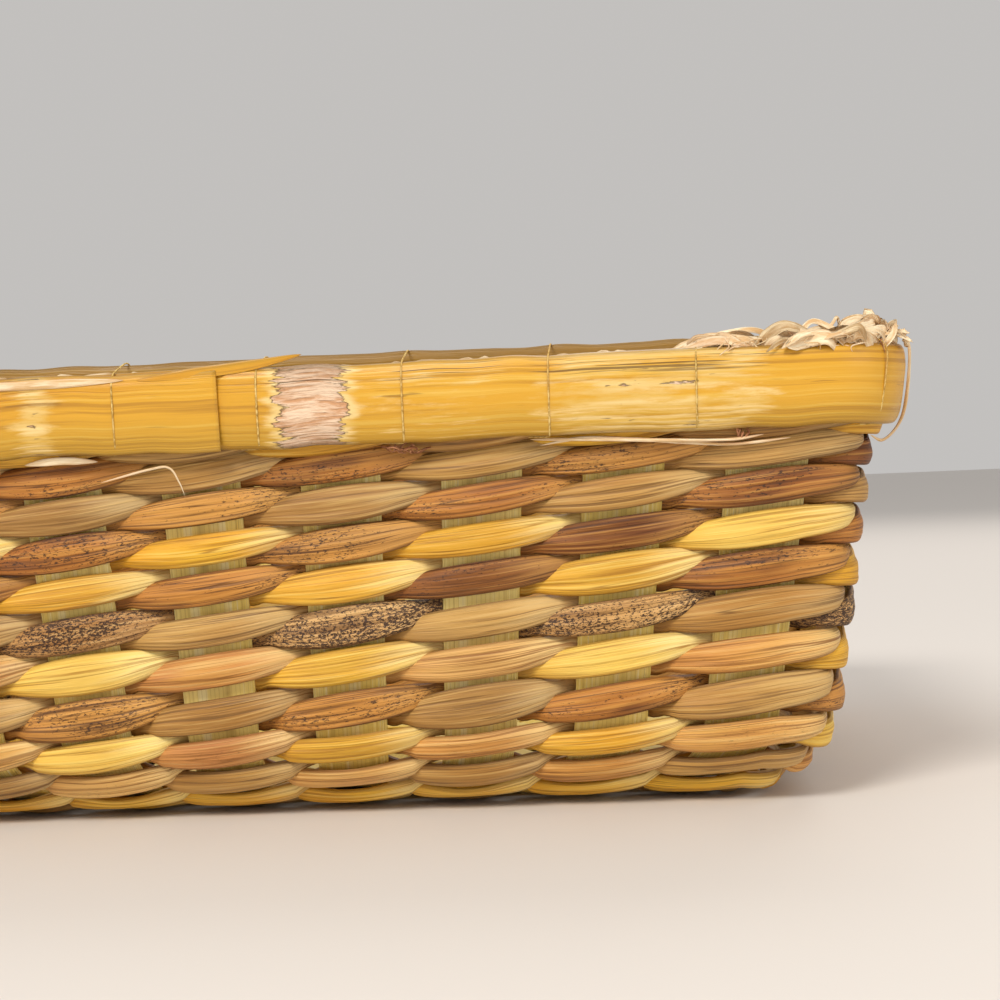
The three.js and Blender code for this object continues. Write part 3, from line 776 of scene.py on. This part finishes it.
def strandGuide(row, strand):
    distance, pitch = rowPlace(row)
    slats = 2 * sum(basket["slatCounts"])
    steps = weave["stepsPerSlat"]
    heightNoise = smoothNoise(100 + row * 2 + strand, slats)
    riseNoise = smoothNoise(200 + row * 2 + strand, slats)
    bulgeNoise = smoothNoise(300 + row * 2 + strand, slats)
    rowNoise = smoothNoise(400 + row, slats)
    tiltNoise = smoothNoise(500 + row * 2 + strand, slats)
    scale = pitch / weave["rowPitch"]
    nearBend = distance < bendLength + 3
    firstOutside = (row + strand) % 2
    toneDraw = random.Random(600 + row * 2 + strand)
    tones = [toneDraw.uniform(0, 1) for _ in range(slats // 2)]
    tip = weave["tipPlace"]
    bias = weave["outwardBias"] * (weave["biasOfLowRows"] if row < lowRows else 1)
    if row == len(leavesOfRow) - 1:
        bias += weave["lastRowBias"]
    guide = []
    for i in range(slats * steps):
        slat, share = i // steps, (i % steps) / steps
        place = ringPlace(slat, share, distance)
        point, outNormal, way, upWall = frameAt(distance=distance, **place)
        along = i / steps
        # The offset is 0 where the strand passes outside a slat, and -1 or 1 where it passes inside one.
        stitch = math.floor((along - firstOutside + 1) / 2)
        offset = along - firstOutside - 2 * stitch
        size = abs(offset)
        cosine = math.cos(math.pi * offset)
        shaped = math.copysign(abs(cosine) ** weave["stitchFlatness"], cosine)
        reach = weave["bulge"] + weave["unevenBulge"] * bulgeNoise(along)
        if cosine < 0:
            reach = weave["bulgeInBend"] if nearBend else weave["bulgeInside"]
        if row < lowRows and cosine > 0:
            reach = weave["bulgeOfLowRows"]
        bulge = bias + weave["cornerBias"] * math.sin(2 * place.get("turn", 0)) + reach * shaped
        climb = size / tip if size < tip else (1 - size) / (1 - tip)
        rise = weave["tipRise"] * scale * math.copysign(climb, offset)
        rise *= 1 + weave["unevenRise"] * riseNoise(along)
        rise += weave["unevenRow"] * rowNoise(along) * (0 if row < lowRows else 1)
        outsideShare = max(1 - (size / weave["outsideSpan"]) ** 2, 0) ** weave["leafRoundness"]
        insideShare = max(1 - ((1 - size) / weave["insideSpan"]) ** 2, 0) ** weave["leafRoundness"]
        swell = scale * (1 + weave["unevenHeight"] * heightNoise(along))
        half = max(weave["halfHeight"] * outsideShare, weave["halfHeightInside"] * insideShare,
                   weave["tipHalf"]) * swell
        if nearBend and cosine < 0:
            half *= 1 - weave["narrowedInBend"] * abs(cosine)
        gathered = abs(math.sin(math.pi * offset)) ** 3
        thick = weave["halfThickness"] * (1 - gathered) + weave["crossingThickness"] * gathered
        roll = weave["roll"] * gathered + weave["unevenTilt"] * tiltNoise(along)
        across = upWall * math.cos(roll) - outNormal * math.sin(roll)
        outwards = outNormal * math.cos(roll) + upWall * math.sin(roll)
        tone = tones[stitch % len(tones)]
        run = min(size / tip, 1) * math.copysign(1, offset)
        if size > tip:
            # Behind the slat the leaf passes into its next stitch.
            run *= climb
            beside = tones[(stitch + (1 if offset > 0 else -1)) % len(tones)]
            tone += (beside - tone) * (1 - climb) / 2
        guide.append({
            "at": point + outNormal * bulge + upWall * rise,
            "outwards": outwards,
            "across": across,
            "halfWidth": half,
            "outerHalf": thick,
            "bend": smoothStep(0.35, tip, size),
            "run": run,
            "tone": tone,
        })
    return guide


for row, leaves in enumerate(leavesOfRow):
    for strand, leaf in enumerate(leaves):
        letter = "ab"[strand]
        name = f"leaf_strand_{row + 1:02d}_{letter}"
        piece = sweepGuide(name, strandGuide(row, strand), {
            "Points around": 26,
            "Closed": True,
            "Fold height": 1.3 * mm,
            "Folds per metre": 360.0,
            "Fold stretch": 26.0,
            "Seed": float(row * 2 + strand),
        }, leafMaterials[leaf])
        finishPiece(piece, "leaf_" + leaf, f"weft_{row + 1:02d}_strand_{letter}")
print("strands made")

# Slats and base fillers

slatLook = {"step": 1.6, "halfThickness": 0.62}
baseWeave = {"height": 1.5, "flatness": 0.6, "levelFrom": 8, "levelAt": 16}
filler = {"halfWidth": 4.7, "endHalf": 0.1, "pastLastSlat": 9.6, "ribs": 4.0, "pointsAround": 28}


def slatPoint(at, outwards, across, half):
    return {"at": at, "outwards": outwards, "across": across, "halfWidth": half,
            "outerHalf": slatLook["halfThickness"]}


# A slat's guide up one wall from the base's edge.
def wallPoints(wall, slat, acrossWay):
    steps = round(basket["slatTop"] / slatLook["step"])
    guide = []
    for i in range(steps + 1):
        distance = basket["slatTop"] * i / steps
        point, outNormal, _, _ = frameAt(wall, distance, slatAcross(wall, slat, distance))
        half = slatHalf(distance)
        if i == steps:
            half *= 0.02
        guide.append(slatPoint(point, outNormal, acrossWay, half))
    return guide


# A strip's guide along a straight line on the base, lifted by a function of the share passed.
def basePoints(start, end, lift):
    steps = round((end - start).length / slatLook["step"])
    way = (end - start).normalized()
    across = Vector((0, 0, 1)).cross(way)
    guide = []
    for i in range(1, steps):
        share = i / steps
        at = start.lerp(end, share) + Vector((0, 0, lift(share)))
        guide.append(slatPoint(at, Vector((0, 0, -1)), across, basket["slatWidthBase"] / 2))
    return guide


# Height over and under the cross slats along a strip of this half length. A slat lies level again
# before it turns up into the wall.
def weaveLift(sign, halfLength, turnsUp=True):
    def lift(share):
        x = (2 * share - 1) * halfLength
        wave = math.cos(math.pi * (x + halfSpan[0]) / basket["basePitch"])
        height = baseWeave["height"] * sign * math.copysign(abs(wave) ** baseWeave["flatness"], wave)
        if turnsUp:
            past = abs(x) - halfSpan[0]
            height *= smoothStep(baseWeave["levelAt"], baseWeave["levelFrom"], past)
        return height

    return lift


# One slat from wall to wall, and its points on the base between.
def wovenSlat(wallOut, wallBack, slat, opposite, lift):
    turn = wallOut * math.pi / 2
    across = Vector((math.cos(turn), math.sin(turn), 0))
    outPart = wallPoints(wallOut, slat, across)
    backPart = wallPoints(wallBack, opposite, across)[::-1]
    middle = basePoints(backPart[-1]["at"], outPart[0]["at"], lift)
    for point in middle:
        point["across"] = across
    return backPart + middle + outPart


slatSweep = {
    "Points around": 44,
    "Squareness": 0.32,
    "Fold height": 0.25 * mm,
    "Folds per metre": 420.0,
    "Fold stretch": 9.0,
    "Ribs": reedLook["ribs"],
    "Rib depth": reedLook["ribDepth"] * mm,
}
crossCount, longCount = basket["slatCounts"]
for slat in range(crossCount):
    guide = wovenSlat(0, 2, slat, crossCount - 1 - slat, lambda share: 0.0)
    piece = sweepGuide(f"reed_cross_{slat + 1}", guide, {**slatSweep, "Seed": 60.0 + slat}, reed)
    finishPiece(piece, "slat", f"cross_slat_{slat + 1}")
for slat in range(longCount):
    sign = 1 if slat % 2 == 0 else -1
    guide = wovenSlat(1, 3, slat, longCount - 1 - slat, weaveLift(sign, baseHalf[0]))
    piece = sweepGuide(f"reed_long_{slat + 1}", guide, {**slatSweep, "Seed": 80.0 + slat}, reed)
    finishPiece(piece, "slat", f"long_slat_{slat + 1}")
for gap in range(longCount - 1):
    y = (slatAcross(1, gap, 0) + slatAcross(1, gap + 1, 0)) / 2
    sign = 1 if gap % 2 == 1 else -1
    halfLength = halfSpan[0] + filler["pastLastSlat"]
    ends = [Vector((x, y, basket["baseHeight"])) for x in (-halfLength, halfLength)]
    guide = basePoints(ends[0], ends[1], weaveLift(sign, halfLength, turnsUp=False))
    for point in guide:
        point["halfWidth"] = filler["halfWidth"]
        point["across"] = Vector((0, 1, 0))
    for end in (guide[0], guide[-1]):
        end["halfWidth"] = filler["endHalf"]
    piece = sweepGuide(f"reed_filler_{gap + 1}", guide, {**slatSweep, "Ribs": filler["ribs"],
                       "Points around": filler["pointsAround"], "Seed": 90.0 + gap}, reed)
    finishPiece(piece, "slat", f"base_filler_{gap + 1}")
print("slats made")

# Rim stems, packing and thread


# Places along a wall, round the next two corners and along the wall after them.
def halfWayRound(wall, fromAcross, toAcross, distance, step=1.2):
    places = []

    def straight(number, start, end):
        count = max(round(abs(end - start) / step), 1)
        for i in range(count):
            places.append({"wall": number % 4, "across": start + (end - start) * i / count})

    def corner(number):
        for i in range(14):
            places.append({"wall": number % 4, "turn": math.pi / 2 * i / 14})

    straight(wall, fromAcross, straightHalf(wall, distance))
    corner(wall)
    straight(wall + 1, -straightHalf(wall + 1, distance), straightHalf(wall + 1, distance))
    corner(wall + 1)
    straight(wall + 2, -straightHalf(wall + 2, distance), toAcross)
    return places


# The most that any band wears the skin at this distance from the wall's middle.
def wearBands(x, bands):
    most = 0.0
    for low, high, soft, amount in bands:
        inside = smoothStep(low - soft, low + soft, x) * (1 - smoothStep(high - soft, high + soft, x))
        most = max(most, inside * amount)
    return most


# Where the outer stem's skin is worn on the front wall: from, to, softness, depth.
frontWear = [
    (2.0, 21.0, 6.0, 1.0),
    (23.0, 56.0, 8.0, 0.3),
    (62.0, 114.0, 9.0, 0.52),
    (-56.0, -46.0, 6.0, 0.66),
    (-110.0, -85.0, 9.0, 0.35),
]
otherWear = [
    (-70.0, -48.0, 5.0, 0.6),
    (12.0, 40.0, 8.0, 0.42),
    (66.0, 84.0, 6.0, 0.8),
]


# The D-shaped section of a stem, pared to a scarf where it laps the other one of its pair.
def stemGuide(wall, side, seed):
    height = basket["rimHeight"] + (basket["innerStemRise"] if side < 0 else 0)
    middle = basket["rimBottom"] + height / 2
    end = basket["splicePlace"]
    start = end - basket["spliceLength"]
    thickness = basket["stemThickness"]
    wobble = smoothNoise(seed, 60)
    swell = smoothNoise(seed + 1, 60)
    places = halfWayRound(wall, start, end, middle)
    count = len(places)
    guide = []
    for i, place in enumerate(places):
        point, outNormal, way, upWall = frameAt(distance=middle, **place)
        across = place.get("across")
        low, high = 0.0, 1.0
        if place["wall"] == wall and across is not None and across < end:
            high = 0.13 + 0.73 * (across - start) / basket["spliceLength"]
        if i > count / 2 and place["wall"] == (wall + 2) % 4 and across is not None and across > start:
            low = 0.15 + 0.76 * (across - start) / basket["spliceLength"]
        inner = basket["rimInnerFace"] + thickness * low
        outer = basket["rimInnerFace"] + thickness * high
        seat = inner + (outer - inner) * 0.3
        run = i / count * 60
        x = across if across is not None else straightHalf(place["wall"], middle)
        worn = 0.08 + 0.08 * wobble(run * 1.7)
        if side > 0 and place["wall"] == 0:
            worn = max(worn, wearBands(x, frontWear))
        elif side > 0:
            worn = max(worn, wearBands(x, otherWear))
        guide.append({
            "at": point + outNormal * side * seat + upWall * 0.3 * wobble(run),
            "outwards": outNormal * side,
            "across": upWall * side,
            "halfWidth": height / 2 * (1 + 0.02 * swell(run)),
            "outerHalf": outer - seat,
            "innerHalf": seat - inner,
            "wear": worn,
        })
    guide[0]["halfWidth"] *= 0.9
    return guide


stems = [
    ("rim_outer_stem_right", 0, 1),
    ("rim_outer_stem_left", 2, 1),
    ("rim_inner_stem_back", 1, -1),
    ("rim_inner_stem_front", 3, -1),
]
for order, (node, wall, side) in enumerate(stems):
    guide = stemGuide(wall, side, 700 + order * 10)
    look = "outer" if side > 0 else "inner"
    piece = sweepGuide(node.replace("rim", "split"), guide, {
        "Points around": 44,
        "Squareness": 0.62,
        "Fold height": 0.35 * mm,
        "Folds per metre": 260.0,
        "Fold stretch": 9.0,
        "Seed": 120.0 + order,
    }, stemMaterials[look])
    finishPiece(piece, "stem_skin", node)

pithRoll = {"height": 109.0, "halfWidth": 3.3, "outerHalf": 5.2, "uneven": 0.5, "endGap": 0.3, "endHalf": 0.5}
for node, wall in (("rim_packing_front", 3), ("rim_packing_back", 1)):
    places = halfWayRound(wall, pithRoll["endGap"], -pithRoll["endGap"], pithRoll["height"])
    wobble = smoothNoise(800 + wall, 150)
    guide = []
    for i, place in enumerate(places):
        point, outNormal, way, upWall = frameAt(distance=pithRoll["height"], **place)
        run = i / len(places) * 150
        guide.append({
            "at": point + upWall * (pithRoll["uneven"] * wobble(run)),
            "outwards": outNormal,
            "across": upWall,
            "halfWidth": pithRoll["halfWidth"] + pithRoll["uneven"] * wobble(run * 1.9 + 3),
            "outerHalf": pithRoll["outerHalf"],
        })
    guide[0]["halfWidth"] = guide[-1]["halfWidth"] = pithRoll["endHalf"]
    piece = sweepGuide(node.replace("packing", "pith_roll"), guide, {
        "Points around": 30,
        "Squareness": 0.8,
        "Fold height": 2.4 * mm,
        "Folds per metre": 700.0,
        "Fold stretch": 22.0,
        "Seed": 140.0 + wall,
    }, pithMaterial)
    finishPiece(piece, "pith", node)


# A round guide along a path that is rounded off by a running mean, as thread is.
def pathGuide(path, half, step=0.8):
    fine = []
    for a, b in zip(path, path[1:]):
        count = max(round((b - a).length / step), 1)
        fine += [a.lerp(b, i / count) for i in range(count)]
    fine.append(path[-1])
    for _ in range(3):
        fine = [fine[0]] + [(a + b * 2 + c) / 4 for a, b, c in zip(fine, fine[1:], fine[2:])] + [fine[-1]]
    guide = []
    sideways = None
    for i, point in enumerate(fine):
        way = (fine[min(i + 1, len(fine) - 1)] - fine[max(i - 1, 0)]).normalized()
        if sideways is None:
            sideways = way.orthogonal()
        sideways = (sideways - way * sideways.dot(way)).normalized()
        guide.append({"at": point, "outwards": sideways, "across": way.cross(sideways),
                      "halfWidth": half, "outerHalf": half})
    return guide


# The thread's way round both stems in each gap between slats, and on to the next gap.
def threadPath():
    middle = basket["rimBottom"] + basket["rimHeight"] / 2
    seat = basket["rimInnerFace"] + basket["stemThickness"] * 0.3
    # Up and outwards from the middle of a stem's face, mirrored top to bottom.
    lowerFace = [(-9.35, 0.0), (-9.0, 1.5), (-8.2, 2.3), (-6.0, 2.95)]
    roundFace = [*lowerFace, (0.0, 3.2), *((-up, out) for up, out in reversed(lowerFace))]
    turn = [(middle + up, seat + out) for up, out in roundFace]
    turn += [(middle + 9.7, 4.0), (middle + 10.6, -4.0)]
    turn += [(middle + 0.55 + up * 1.06, -seat - out) for up, out in reversed(roundFace)]
    low = basket["rimBottom"]
    path = []
    for wall in range(4):
        count = basket["slatCounts"][wall % 2]
        for gap in range(count):
            for i, (distance, bulge) in enumerate(turn):
                shift = thread["advance"] * (2 * i / (len(turn) - 1) - 1)
                if gap < count - 1:
                    gapMiddle = (slatAcross(wall, gap, low) + slatAcross(wall, gap + 1, low)) / 2
                    point = spotAt(wall, distance, bulge, across=gapMiddle + shift)
                else:
                    point, outNormal, way, _ = frameAt(wall, distance, turn=math.pi / 4)
                    point = point + outNormal * bulge + way * shift
                path.append(point)
    return path


thread = {"half": 0.2, "advance": 0.7}
guide = pathGuide(threadPath(), thread["half"])
piece = sweepGuide("sewing_thread", guide, {"Points around": 8, "Seed": 150.0}, threadMaterial)
finishPiece(piece, "thread", "rim_sewing_thread")
print("rim made")

# What has come loose: a peeled sliver, crumpled pith at one corner, tufts and stray fibres


# A smooth run of points through a few given ones.
def smoothRun(points, step):
    padded = [points[0] * 2 - points[1], *points, points[-1] * 2 - points[-2]]
    run = []
    for a, b, c, d in zip(padded, padded[1:], padded[2:], padded[3:]):
        count = max(round((c - b).length / step), 1)
        for i in range(count):
            t = i / count
            bent = (a * 2 - b * 5 + c * 4 - d) * t * t + (b * 3 - a - c * 3 + d) * t**3
            run.append((b * 2 + (c - a) * t + bent) / 2)
    run.append(points[-1])
    return run


# A ribbon or a fibre through the points, its flat side facing the given way at first.
def looseGuide(points, half, thick, facing, twist=0.0, taper=0.2, step=0.6):
    run = smoothRun(points, step)
    last = len(run) - 1
    guide = []
    for i, point in enumerate(run):
        way = (run[min(i + 1, last)] - run[max(i - 1, 0)]).normalized()
        side = way.cross(facing)
        side = side.normalized() if side.length > 0.01 else way.orthogonal().normalized()
        front = side.cross(way)
        turn = twist * i / last
        narrow = max(min(i, last - i) / (last * taper), 0.0)
        narrow = max(min(narrow, 1) ** 0.6, 0.03)
        guide.append({
            "at": point,
            "outwards": front * math.cos(turn) + side * math.sin(turn),
            "across": side * math.cos(turn) - front * math.sin(turn),
            "halfWidth": half * narrow,
            "outerHalf": thick * narrow,
            "wear": 0.1,
        })
    return guide


def joinPieces(name, pieces):
    with bpy.context.temp_override(active_object=pieces[0], selected_editable_objects=pieces):
        bpy.ops.object.join()
    pieces[0].name = name
    return pieces[0]


frontFacing = Vector((0, -1, 0))


# Points on the front wall from rows of distance, bulge and place across.
def frontSpots(spots):
    return [spotAt(0, distance, bulge, across=across) for distance, bulge, across in spots]


# A point near the front right corner: run is in millimetres, from the corner's start.
def cornerSpot(distance, bulge, run):
    if run < 0:
        return spotAt(0, distance, bulge, across=straightHalf(0, distance) + run)
    turn = min(run / (cornerRadiusAt(distance) + max(bulge, 0)), math.pi / 2)
    return spotAt(0, distance, bulge, turn=turn)


sliver = looseGuide(frontSpots([(111.6, 8.9, -27), (112.6, 8.6, -14), (113.7, 8.0, -2), (115.6, 6.8, 10)]),
                    1.3, 0.22, frontFacing, 0.3, 0.35)
piece = sweepGuide("peeled_sliver", sliver, {"Points around": 14, "Squareness": 0.6,
                   "Fold height": 0.3 * mm, "Seed": 170.0}, stemMaterials["outer"])
finishPiece(piece, "stem_skin")

paleEdge = looseGuide(frontSpots([(111.4, 9.0, -116), (111.9, 8.8, -90), (111.5, 9.0, -62),
                                  (111.8, 8.9, -30)]), 1.0, 0.25, frontFacing, 0.2, 0.15)
underSliver = looseGuide(frontSpots([(93.2, 5.6, -55), (93.9, 6.4, -47), (93.4, 6.0, -38)]),
                         0.9, 0.16, frontFacing, 0.4, 0.3)
hooked = looseGuide(frontSpots([(88.4, 4.9, -38), (91.2, 6.2, -26), (91.4, 7.2, -21.5), (88.0, 7.0, -19.5),
                                (84.6, 6.0, -18.6)]), 0.28, 0.2, frontFacing, 1.0, 0.3, 0.4)
pieces = []
for order, guide in enumerate((paleEdge, underSliver, hooked)):
    pieces.append(sweepGuide(f"shred{order}", guide, {"Points around": 12, "Squareness": 0.7,
                  "Fold height": 0.25 * mm, "Seed": 180.0 + order}, paleFibre))
finishPiece(joinPieces("pale_shreds", pieces), "pith")

crumple = {
    "ribbons": 40,
    "from": -19.0,
    "to": 17.0,
    "reach": (2.4, 7.2),
    "halfWidth": (0.5, 1.8),
    "thickness": (0.05, 0.1),
}
draw = random.Random(41)
pieces = []
for order in range(crumple["ribbons"]):
    run = draw.uniform(crumple["from"], crumple["to"])
    reach = draw.uniform(*crumple["reach"]) * (0.45 + 0.55 * smoothStep(-17, -4, run))
    bulge = draw.uniform(-2.5, 8.0)
    points = [cornerSpot(111.0, bulge, run)]
    knees = draw.randint(3, 5)
    onwards = draw.choice((-1, 1)) * draw.uniform(2.2, 5.0)
    for knee in range(knees):
        height = 111.5 + reach * math.sin(math.pi * (knee + 1) / (knees + 0.6)) + draw.uniform(-0.8, 0.8)
        bulge = min(max(bulge + draw.uniform(-2, 2.8), -4.0), 10.2)
        run += onwards + draw.uniform(-1.5, 1.5)
        points.append(cornerSpot(height, bulge, run))
    facing = Vector((draw.uniform(-1, 1), -1, draw.uniform(-0.4, 0.8))).normalized()
    half = draw.uniform(*crumple["halfWidth"])
    guide = looseGuide(points, half, draw.uniform(*crumple["thickness"]), facing,
                       draw.uniform(-1.5, 1.5), 0.16, 0.45)
    pieces.append(sweepGuide(f"crumple{order}", guide, {"Points around": 14, "Squareness": 0.7,
                  "Fold height": 0.8 * mm, "Folds per metre": 700.0, "Fold stretch": 240.0,
                  "Seed": 200.0 + order}, paperMaterial if order % 4 else pithMaterial))
for order in range(46):
    run = draw.uniform(crumple["from"] - 8, crumple["to"])
    bulge = draw.uniform(-2, 8.5)
    height = 112.2
    points = [cornerSpot(110.5, bulge, run)]
    for _ in range(3):
        height += draw.uniform(-0.2, 1.9)
        bulge += draw.uniform(-2.0, 2.0)
        run += draw.uniform(-3.2, 3.2)
        points.append(cornerSpot(height, bulge, run))
    guide = looseGuide(points, 0.16, 0.14, frontFacing, 0.0, 0.4, 0.5)
    pieces.append(sweepGuide(f"hair{order}", guide, {"Points around": 6, "Seed": 260.0 + order},
                  paleFibre if order % 4 else brownFibre))
finishPiece(joinPieces("crumpled_pith", pieces), "pith")

# Small tufts: where each stands (distance, bulge, across), how many fibres, how long, how far it spreads.
tufts = [
    (113.4, -5.5, 38.0, 6, 3.2, 1.5),
    (113.4, -5.5, 69.0, 4, 3.0, 1.0),
    (93.4, 7.0, 107.0, 7, 4.2, 1.8),
    (93.2, 6.6, 33.0, 9, 3.0, 3.2),
    (93.6, 6.4, 30.0, 6, 4.0, 3.0),
]
pieces = []
for distance, bulge, across, count, length, spread in tufts:
    for order in range(count):
        points = [spotAt(0, distance - 1, bulge - 1.2, across=across + draw.uniform(-0.5, 0.5) * spread)]
        for knee in range(3):
            before = points[-1]
            step = Vector((draw.uniform(-1, 1) * spread * 0.6, draw.uniform(-0.8, 0.25),
                           draw.uniform(0.1, 0.7 if knee < 2 else -0.5) * length / 2))
            points.append(before + step)
        guide = looseGuide(points, 0.26, 0.18, frontFacing, 0.8, 0.4, 0.35)
        pieces.append(sweepGuide(f"tuft{len(pieces)}", guide, {"Points around": 7,
                      "Seed": 320.0 + len(pieces)}, brownFibre))
finishPiece(joinPieces("brown_tufts", pieces), "pith")

ties = [
    frontSpots([(92.6, 4.6, 62), (94.1, 5.8, 72), (93.3, 6.1, 84), (92.0, 6.0, 96), (91.3, 5.6, 106),
                (92.2, 5.4, 118)]),
    frontSpots([(94.2, 5.4, 60), (93.6, 6.4, 76), (92.9, 6.8, 90), (92.4, 6.4, 104), (93.2, 5.8, 112)]),
    [spotAt(0, distance, bulge, turn=turn) for distance, bulge, turn in
     ((116.4, 5.5, 1.1), (113.8, 8.7, 1.35), (108, 9.8, 1.46), (99, 9.9, 1.48), (94.2, 8.6, 1.42),
      (91.0, 6.0, 1.3), (92.0, 4.4, 1.0))],
]
pieces = []
for order, points in enumerate(ties):
    guide = looseGuide(points, 0.42, 0.34, frontFacing, 6.0, 0.12, 0.5)
    pieces.append(sweepGuide(f"tie{order}", guide, {"Points around": 10, "Fold height": 0.3 * mm,
                  "Folds per metre": 2500.0, "Seed": 400.0 + order}, paleFibre))
finishPiece(joinPieces("pale_ties", pieces), "thread")
print("loose pieces made")

# Floor, lights and camera

floorMesh = bpy.data.meshes.new("floor")
reach = 30.0  # metres
floorMesh.from_pydata([(-reach, -reach, 0), (reach, -reach, 0), (reach, reach, 0), (-reach, reach, 0)],
                      [], [(0, 1, 2, 3)])
floor = bpy.data.objects.new("floor", floorMesh)
shown.objects.link(floor)
floorMaterial, floorTree, floorShader = newMaterial("paleFloor")
floorShader.inputs["Base Color"].default_value = linearColour("dcd7d2")
floorShader.inputs["Roughness"].default_value = 0.8
floorMesh.materials.append(floorMaterial)

world = bpy.data.worlds.new("softSky")
scene.world = world
world.use_nodes = True
world.node_tree.nodes["Background"].inputs["Color"].default_value = linearColour("f4f1ee")
world.node_tree.nodes["Background"].inputs["Strength"].default_value = 0.6


def areaLight(name, place, target, size, power, colour):
    data = bpy.data.lights.new(name, "AREA")
    data.shape = "DISK"
    data.size = size
    data.energy = power
    data.color = linearColour(colour)[:3]
    lamp = bpy.data.objects.new(name, data)
    lamp.location = place
    lamp.rotation_euler = (Vector(target) - Vector(place)).to_track_quat("-Z", "Y").to_euler()
    shown.objects.link(lamp)


areaLight("keyLight", (-0.55, -1.6, 1.5), (0, 0, 0.06), 0.8, 34, "fffaf2")
areaLight("fillLight", (1.6, -1.2, 0.7), (0, 0, 0.05), 1.2, 8, "fff4ea")
areaLight("backLight", (0.5, 1.6, 1.6), (0, 0, 0.08), 1.4, 14, "fff8f0")

view = {
    "place": (79.5, -561.0, 76.4),
    "yaw": 3.43,
    "up": -0.45,
    "roll": -2.37,
    "lens": 72.0,
}
cameraData = bpy.data.cameras.new("camera")
cameraData.sensor_width = 36.0
cameraData.lens = view["lens"]
cameraData.clip_start = 0.01
camera = bpy.data.objects.new("camera", cameraData)
yaw, up, roll = (math.radians(view[key]) for key in ("yaw", "up", "roll"))
forwards = Vector((-math.sin(yaw) * math.cos(up), math.cos(yaw) * math.cos(up), math.sin(up)))
flatRight = Vector((math.cos(yaw), math.sin(yaw), 0))
flatUp = flatRight.cross(forwards)
right = flatRight * math.cos(roll) + flatUp * math.sin(roll)
upwards = flatUp * math.cos(roll) - flatRight * math.sin(roll)
camera.matrix_world = Matrix((
    (right.x, upwards.x, -forwards.x, view["place"][0] * mm),
    (right.y, upwards.y, -forwards.y, view["place"][1] * mm),
    (right.z, upwards.z, -forwards.z, view["place"][2] * mm),
    (0, 0, 0, 1),
))
shown.objects.link(camera)
scene.camera = camera
